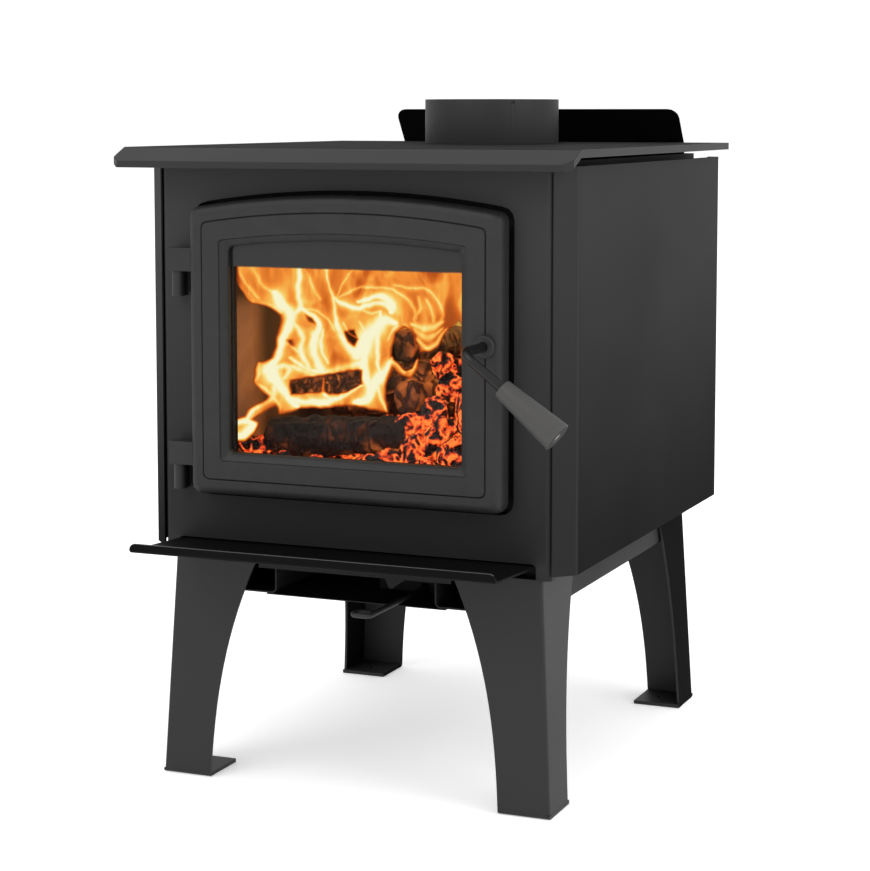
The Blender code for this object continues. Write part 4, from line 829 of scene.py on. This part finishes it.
# Each thread is its heat, then points (x, z, half width).
FLAME_THREADS = (
    (1, (-126, 514, 2.5), (-122, 503, 4.6), (-116, 493, 5.3), (-117, 476, 3.9), (-121, 461, 3.5),
     (-125, 449, 3.9), (-129, 440, 3.9), (-132, 432, 6), (-128, 423, 5.3), (-122, 411, 3.9), (-117,
     399, 3.2), (-110, 390, 1.8)),
    (0.8, (-128, 432, 4.6), (-122, 434, 3.2), (-117, 429, 2.5), (-119, 420, 1.8)),
    (0.62, (-141, 439, 1.4), (-140, 428, 2.1), (-143, 419, 1.4), (-136, 410, 2.1), (-131, 401, 2.1),
     (-126, 391, 1.4), (-124, 383, 0.8)),
    (0.85, (-107, 556, 2.1), (-108, 535, 2.1), (-109, 523, 1.8), (-107, 509, 2.1), (-106, 498, 2.8),
     (-111, 492, 2.8), (-116, 488, 2.8)),
    (0.85, (-106, 498, 1.8), (-100, 491, 2.1), (-93, 485, 2.5), (-90, 477, 2.8), (-94, 467, 3.2),
     (-94, 455, 3.2), (-92, 441, 3.9), (-88, 430, 4.6)),
    (0.75, (-115, 483, 2.1), (-109, 473, 2.1), (-104, 462, 2.1), (-106, 448, 2.5), (-103, 439, 2.8),
     (-100, 430, 3.2)),
    (0.6, (-117, 459, 1.1), (-111, 452, 1.4), (-109, 448, 1.1)),
    (0.75, (-81, 556, 1.1), (-80, 535, 1.1), (-79, 521, 1.1), (-75, 510, 1.8), (-72, 499, 1.8),
     (-69, 485, 2.1), (-67, 474, 3.2), (-63, 463, 4.6), (-55, 454, 5.6), (-47, 450, 6)),
    (0.85, (-74, 509, 2.1), (-62, 501, 2.5), (-47, 497, 2.1), (-33, 502, 2.8), (-18, 504, 2.8), (-8,
     500, 3.2), (-3, 495, 2.5)),
    (0.95, (-45, 504, 1.4), (-32, 508, 2.5), (-20, 512, 3.2), (-9, 507, 3.9), (-2, 499, 3.5), (-5,
     494, 1.8)),
    (1, (1, 484, 1.8), (-9, 485, 4.6), (-18, 482, 7.7), (-25, 474, 10.2), (-32, 464, 9.8), (-38,
     453, 8.4), (-47, 448, 5.3)),
    (0.85, (-17, 494, 1.8), (-18, 482, 3.5), (-20, 468, 3.9), (-20, 451, 3.2), (-22, 437, 2.5),
     (-18, 428, 1.4)),
    (0.95, (-34, 457, 5.3), (-38, 443, 4.2), (-36, 429, 4.2), (-32, 419, 5.3), (-28, 411, 5.3),
     (-32, 401, 4.2), (-40, 396, 3.2), (-49, 394, 2.5), (-45, 398, 1.1)),
    (1, (-3, 446, 1.4), (-8, 438, 3.9), (-14, 430, 6.3), (-21, 421, 6.3), (-26, 412, 4.6)),
    (0.7, (-20, 418, 2.8), (-18, 408, 2.8), (-15, 397, 2.1), (-11, 387, 0.8)),
    (0.85, (-117, 400, 1.8), (-106, 395, 3.2), (-94, 393, 4.2), (-84, 392, 4.2), (-71, 398, 2.8),
     (-58, 404, 2.1), (-48, 409, 1.4), (-38, 413, 0.8)),
    (0.7, (-86, 419, 0.8), (-86, 410, 1.4), (-83, 401, 2.1), (-74, 397, 2.1)),
    (0.62, (-116, 433, 1.8), (-106, 429, 2.8), (-94, 424, 2.5), (-77, 427, 3.2), (-58, 434, 3.9),
     (-39, 439, 3.5)),
    (0.75, (-116, 442, 1.8), (-106, 433, 2.1), (-94, 428, 2.5), (-81, 425, 1.8), (-66, 428, 1.1)),
    (1, (-173, 370, 1.8), (-164, 375, 2.8), (-154, 378, 3.5), (-145, 373, 3.2), (-150, 366, 4.6),
     (-157, 361, 4.2), (-168, 359, 1.8)),
    (0.6, (-153, 376, 1.4), (-147, 386, 2.1), (-140, 392, 2.8), (-132, 398, 2.5), (-129, 406, 2.8),
     (-127, 415, 2.5)),
    (0.85, (20, 482, 1.4), (32, 478, 3.9), (44, 481, 3.9), (54, 487, 1.4)),
    (0.8, (25, 466, 2.5), (37, 458, 2.8), (49, 464, 2.8), (58, 478, 1.1)),
    (0.75, (24, 475, 3.2), (34, 470, 4.2), (45, 472, 3.2), (54, 479, 1.4)),
    (0.5, (-69, 509, 0.9), (-54, 514, 1.1), (-38, 520, 1.1), (-20, 521, 1.2), (-2, 517, 1.2), (13,
     510, 1.4), (21, 499, 1.6), (25, 488, 1.4)),
    (0.5, (-2, 523, 0.8), (17, 522, 1.1), (36, 520, 1.4), (48, 511, 1.6), (54, 499, 1.8), (52, 488,
     1.8), (43, 479, 1.4)),
    (0.48, (26, 511, 1.4), (28, 499, 1.8), (23, 487, 1.8), (28, 478, 1.4)),
    (0.52, (-39, 496, 1.4), (-28, 493, 1.8), (-17, 494, 1.4)),
    (0.55, (36, 508, 1.1), (41, 498, 1.8), (44, 487, 2.1)),
    (0.5, (-173, 556, 0.9), (-161, 533, 0.9), (-154, 518, 1.1), (-147, 505, 1.4), (-135, 501, 1.6),
     (-123, 493, 1.8)),
    (0.42, (-165, 556, 0.9), (-154, 533, 0.9), (-147, 520, 1.1), (-141, 508, 1.1)),
    (0.42, (-154, 556, 0.9), (-141, 533, 0.9), (-135, 520, 1.4), (-126, 513, 1.4)),
    (0.42, (-108, 556, 0.9), (-100, 531, 0.9), (-96, 517, 1.1), (-88, 505, 0.9)),
    (0.4, (-39, 556, 0.8), (-54, 534, 0.8), (-64, 520, 1.1), (-71, 509, 1.1)),
    (0.45, (-100, 495, 1.1), (-88, 491, 1.1), (-77, 483, 1.1), (-72, 471, 0.9)),
    (0.6, (-86, 474, 1.1), (-88, 462, 1.6), (-85, 448, 1.8), (-79, 436, 1.8)),
    (0.55, (-60, 480, 0.9), (-54, 470, 1.1), (-45, 467, 1.1)),
    (0.55, (-43, 484, 0.9), (-37, 477, 2.1), (-34, 471, 2.8)),
    (0.6, (-4, 444, 1.4), (4, 436, 1.4), (11, 430, 0.9), (22, 435, 0.8), (25, 444, 0.8)),
    (0.55, (-9, 465, 0.9), (-4, 477, 1.4), (2, 481, 1.1)),
    (0.45, (11, 483, 0.8), (20, 473, 1.1), (22, 459, 1.1), (21, 449, 0.8)),
    (0.42, (78, 556, 2), (84, 530, 3), (76, 505, 3.5), (86, 480, 4), (80, 455, 4), (88, 430, 3)),
    (0.40, (100, 556, 2), (104, 525, 3), (96, 500, 3), (104, 470, 4), (98, 440, 3)),
)


def along_curve(points, steps=12):
    """Points of a smooth curve through the given ones."""
    ends = [points[0], *points, points[-1]]
    found = []
    for group in zip(ends, ends[1:], ends[2:], ends[3:]):
        for i in range(steps):
            t = i / steps
            found.append([
                0.5 * (2 * q + (r - p) * t + (2 * p - 5 * q + 4 * r - s) * t * t
                       + (3 * q - p - 3 * r + s) * t ** 3)
                for p, q, r, s in zip(*group)
            ])
    found.append(list(points[-1]))
    return numpy.array(found)


def inside_depth(outline, x, z):
    """How far points lie inside a closed outline, negative outside it."""
    nearest = numpy.full(x.shape, 1e6)
    inside = numpy.zeros(x.shape, bool)
    for (x0, z0), (x1, z1) in zip(outline, outline[1:] + outline[:1]):
        run, climb = x1 - x0, z1 - z0
        t = numpy.clip(((x - x0) * run + (z - z0) * climb) / (run * run + climb * climb), 0, 1)
        nearest = numpy.minimum(nearest, numpy.hypot(x - x0 - t * run, z - z0 - t * climb))
        if climb:
            inside ^= ((z0 > z) != (z1 > z)) & (x < x0 + (z - z0) * run / climb)
    return numpy.where(inside, nearest, -nearest)


def burn(sheet, outlines, gaps, threads):
    """Stores, at every point of a sheet, how hot the threads and the body of the fire are there."""
    count = len(sheet.data.vertices)
    place = numpy.empty(count * 3)
    sheet.data.vertices.foreach_get("co", place)
    x, z = place[0::3] * 1000, place[2::3] * 1000
    bent_x = x + 1.2 * numpy.sin(z * 0.13 + x * 0.07) + 0.25 * numpy.sin(z * 0.47 - x * 0.13)
    bent_z = z + 1.0 * numpy.sin(x * 0.15 - z * 0.05) + 0.25 * numpy.sin(x * 0.53 + z * 0.11)
    core, halo = numpy.zeros(count), numpy.zeros(count)
    for heat, *points in threads:
        route = along_curve(points)
        reach = 4 * route[:, 2].max() + 4
        low, high = route.min(axis=0) - reach, route.max(axis=0) + reach
        near = numpy.flatnonzero((bent_x > low[0]) & (bent_x < high[0])
                                 & (bent_z > low[1]) & (bent_z < high[1]))
        away = numpy.full(near.shape, 1e6)
        for px, pz, width in route:
            width = max(width, 0.7)
            away = numpy.minimum(away, numpy.hypot(bent_x[near] - px, bent_z[near] - pz) / width)
        core[near] = numpy.maximum(core[near], heat * numpy.exp(-((away / 0.95) ** 2.2)))
        halo[near] = numpy.maximum(halo[near], heat * numpy.exp(-((away / 2.8) ** 2)))
    body = numpy.zeros(count)
    for outline in outlines:
        body = numpy.maximum(body, numpy.clip(0.5 + inside_depth(outline, bent_x, bent_z) / 4.0, 0, 1))
    for gap in gaps:
        body *= numpy.clip(0.5 - inside_depth(gap, bent_x, bent_z) / 3.0, 0, 1)
    layer = sheet.data.color_attributes.new("fire", "FLOAT_COLOR", "POINT")
    values = numpy.ones(count * 4)
    values[0::4], values[1::4], values[2::4] = core, body, halo
    layer.data.foreach_set("color", values)


def flame(name, strength):
    """Fire: deep orange gas with finer folds in it, and threads that run through yellow to white."""
    material, tree, shader = shader_tree(name)
    stored = tree.nodes.new("ShaderNodeAttribute")
    stored.attribute_name = "fire"
    parts = tree.nodes.new("ShaderNodeSeparateColor")
    tree.links.new(stored.outputs["Color"], parts.inputs["Color"])
    core, body, halo = parts.outputs["Red"], parts.outputs["Green"], parts.outputs["Blue"]
    where = in_place(tree, (1.0, 1.0, 0.50), (0, 0, 0), (0.0, 0.30, 0.0))
    drift = noise(tree, where, 16, 2, 0.5).outputs["Color"]
    moved = tree.nodes.new("ShaderNodeVectorMath")
    moved.operation = "MULTIPLY_ADD"
    tree.links.new(drift, moved.inputs[0])
    moved.inputs[1].default_value = (0.060, 0.060, 0.060)
    tree.links.new(where, moved.inputs[2])
    folds = veins(tree, moved.outputs[0], 30, 3.0, 1.7)
    patches = noise(tree, moved.outputs[0], 30, 3, 0.55).outputs["Fac"]
    gas = maths(tree, "ADD", maths(tree, "MULTIPLY", folds, 0.26), maths(tree, "MULTIPLY", patches, 0.66))
    gas = maths(tree, "ADD", gas, maths(tree, "MULTIPLY", halo, 0.30))
    gas = maths(tree, "MULTIPLY", maths(tree, "SUBTRACT", gas, 0.16, True), body)
    grain = maths(tree, "ADD", maths(tree, "MULTIPLY", patches, 0.7), 0.62)
    grain = maths(tree, "ADD", grain, maths(tree, "MULTIPLY", folds, 0.10))
    heat = maths(tree, "ADD", maths(tree, "MULTIPLY", maths(tree, "MULTIPLY", core, grain), 0.46),
                 maths(tree, "MULTIPLY", gas, 0.86), True)
    colours = ramp(tree, heat, (0.0, (0.30, 0.020, 0.0)), (0.14, (0.42, 0.055, 0.006)),
                   (0.28, (0.70, 0.14, 0.014)), (0.42, (0.96, 0.29, 0.036)), (0.58, (1.0, 0.52, 0.085)),
                   (0.74, (1.0, 0.79, 0.25)), (0.97, (1.0, 0.97, 0.66)))
    veil = ramp(tree, heat, (0.03, 0.0), (0.12, 0.50), (0.30, 0.88), (0.50, 1.0))
    shader.inputs["Base Color"].default_value = (0, 0, 0, 1)
    shader.inputs["Specular IOR Level"].default_value = 0.0
    tree.links.new(colours, shader.inputs["Emission Color"])
    shader.inputs["Emission Strength"].default_value = strength
    tree.links.new(veil, shader.inputs["Alpha"])
    return material


def thicken(sheet):
    """Makes the active sheet a closed, smooth body."""
    body = sheet.modifiers.new("body", "SOLIDIFY")
    body.thickness = SHEET_THICKNESS
    bpy.ops.object.modifier_apply(modifier=body.name)
    bpy.ops.object.shade_smooth_by_angle(angle=math.radians(50))


left, right, low, high = (v * 0.001 for v in FLAME_SPAN)
fire = grid_piece("flame_front", ((left + right) / 2, 0, (low + high) / 2), (right - left, high - low),
                  (math.radians(90), 0, 0), int((FLAME_SPAN[1] - FLAME_SPAN[0]) / FLAME_CELL),
                  int((FLAME_SPAN[3] - FLAME_SPAN[2]) / FLAME_CELL))
burn(fire, FLAME_BODY, FLAME_GAPS, FLAME_THREADS)
for vertex in fire.data.vertices:
    t = min(max((-0.080 - vertex.co.x) / 0.090, 0.0), 1.0)
    vertex.co.y = -0.118 - 0.060 * t * t * (3 - 2 * t)
thicken(fire)
paint(fire, flame("front_fire", 1.0))
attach(fire, "stove_body")

back = grid_piece("flame_back", (0.036, 0, 0.462), (0.272, 0.190), (math.radians(90), 0, 0), 136, 95)
BACK_BODY = (((-70, 470), (-50, 440), (0, 420), (60, 420), (120, 400), (168, 420), (168, 556), (-90, 556)),)
BACK_THREADS = (
    (0.44, (-60, 480, 3), (-40, 510, 4), (-30, 540, 3)), (0.46, (0, 450, 4), (16, 490, 5), (4, 540, 4)),
    (0.42, (60, 440, 4), (50, 480, 5), (70, 540, 4)), (0.40, (120, 430, 4), (110, 480, 5), (130, 545, 4)),
)
burn(back, BACK_BODY, (), BACK_THREADS)
for vertex in back.data.vertices:
    vertex.co.y = 0.030 + 0.010 * math.sin(vertex.co.x * 38) + 0.006 * math.sin(vertex.co.z * 55)
thicken(back)
paint(back, flame("back_fire", 0.6))
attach(back, "stove_body")

# ------------------------------------------------------------------ light, floor and camera
# Soft daylight-white studio: an even pale surround, a large soft light above and in front, another
# at the right, the fire's own glow inside the box, and a plain pale floor.
FLOOR_WHITE = 0.90
CAMERA_PLACE = (0.94797, -2.28948, 0.70809)
CAMERA_DOWN, CAMERA_TURN = 5.6335, 22.5587


def soft_light(name, place, target, size, power, colour=(1, 1, 1)):
    data = bpy.data.lights.new(name, "AREA")
    data.shape = "RECTANGLE"
    data.size, data.size_y = size
    data.energy = power
    data.color = colour
    light = bpy.data.objects.new(name, data)
    bpy.context.scene.collection.objects.link(light)
    light.location = place
    light.rotation_euler = (Vector(target) - Vector(place)).to_track_quat("-Z", "Y").to_euler()


soft_light("key_light", (-0.9, -2.3, 2.6), (0, 0, 0.45), (2.2, 1.6), 34)
soft_light("side_light", (2.8, -0.6, 2.2), (0, 0.05, 0.45), (2.0, 1.6), 34)
soft_light("fire_glow", (0.02, 0.06, 0.50), (-0.10, -0.20, 0.35), (0.22, 0.10), 1.6,
           (1.0, 0.42, 0.10))

material, tree, shader = shader_tree("pale_floor")
cloud = noise(tree, in_place(tree), 2.0, 2, 0.5).outputs["Fac"]
tree.links.new(ramp(tree, cloud, (0.3, FLOOR_WHITE - 0.01), (0.7, FLOOR_WHITE)), shader.inputs["Base Color"])
shader.inputs["Roughness"].default_value = 0.9
shader.inputs["Specular IOR Level"].default_value = 0.1
shader.inputs["Emission Color"].default_value = (1, 1, 1, 1)
shader.inputs["Emission Strength"].default_value = 0.34
floor = grid_piece("studio_floor", (0, 0, -0.0005), (60, 60), (0, 0, 0), 4, 4)
paint(floor, material)

world = bpy.data.worlds.new("studio")
bpy.context.scene.world = world
world.use_nodes = True
world.node_tree.nodes["Background"].inputs["Color"].default_value = (1, 1, 1, 1)
world.node_tree.nodes["Background"].inputs["Strength"].default_value = 1.04

lens = bpy.data.cameras.new("camera")
lens.sensor_fit = "HORIZONTAL"
lens.sensor_width = 36.0
lens.lens = 92.031
lens.shift_y = -0.12
lens.clip_start = 0.05
camera = bpy.data.objects.new("camera", lens)
camera.location = CAMERA_PLACE
camera.rotation_euler = (math.radians(90 - CAMERA_DOWN), 0.0, math.radians(CAMERA_TURN))
bpy.context.scene.collection.objects.link(camera)
bpy.context.scene.camera = camera
bpy.context.scene.view_settings.view_transform = "Standard"
bpy.context.scene.view_settings.look = "None"
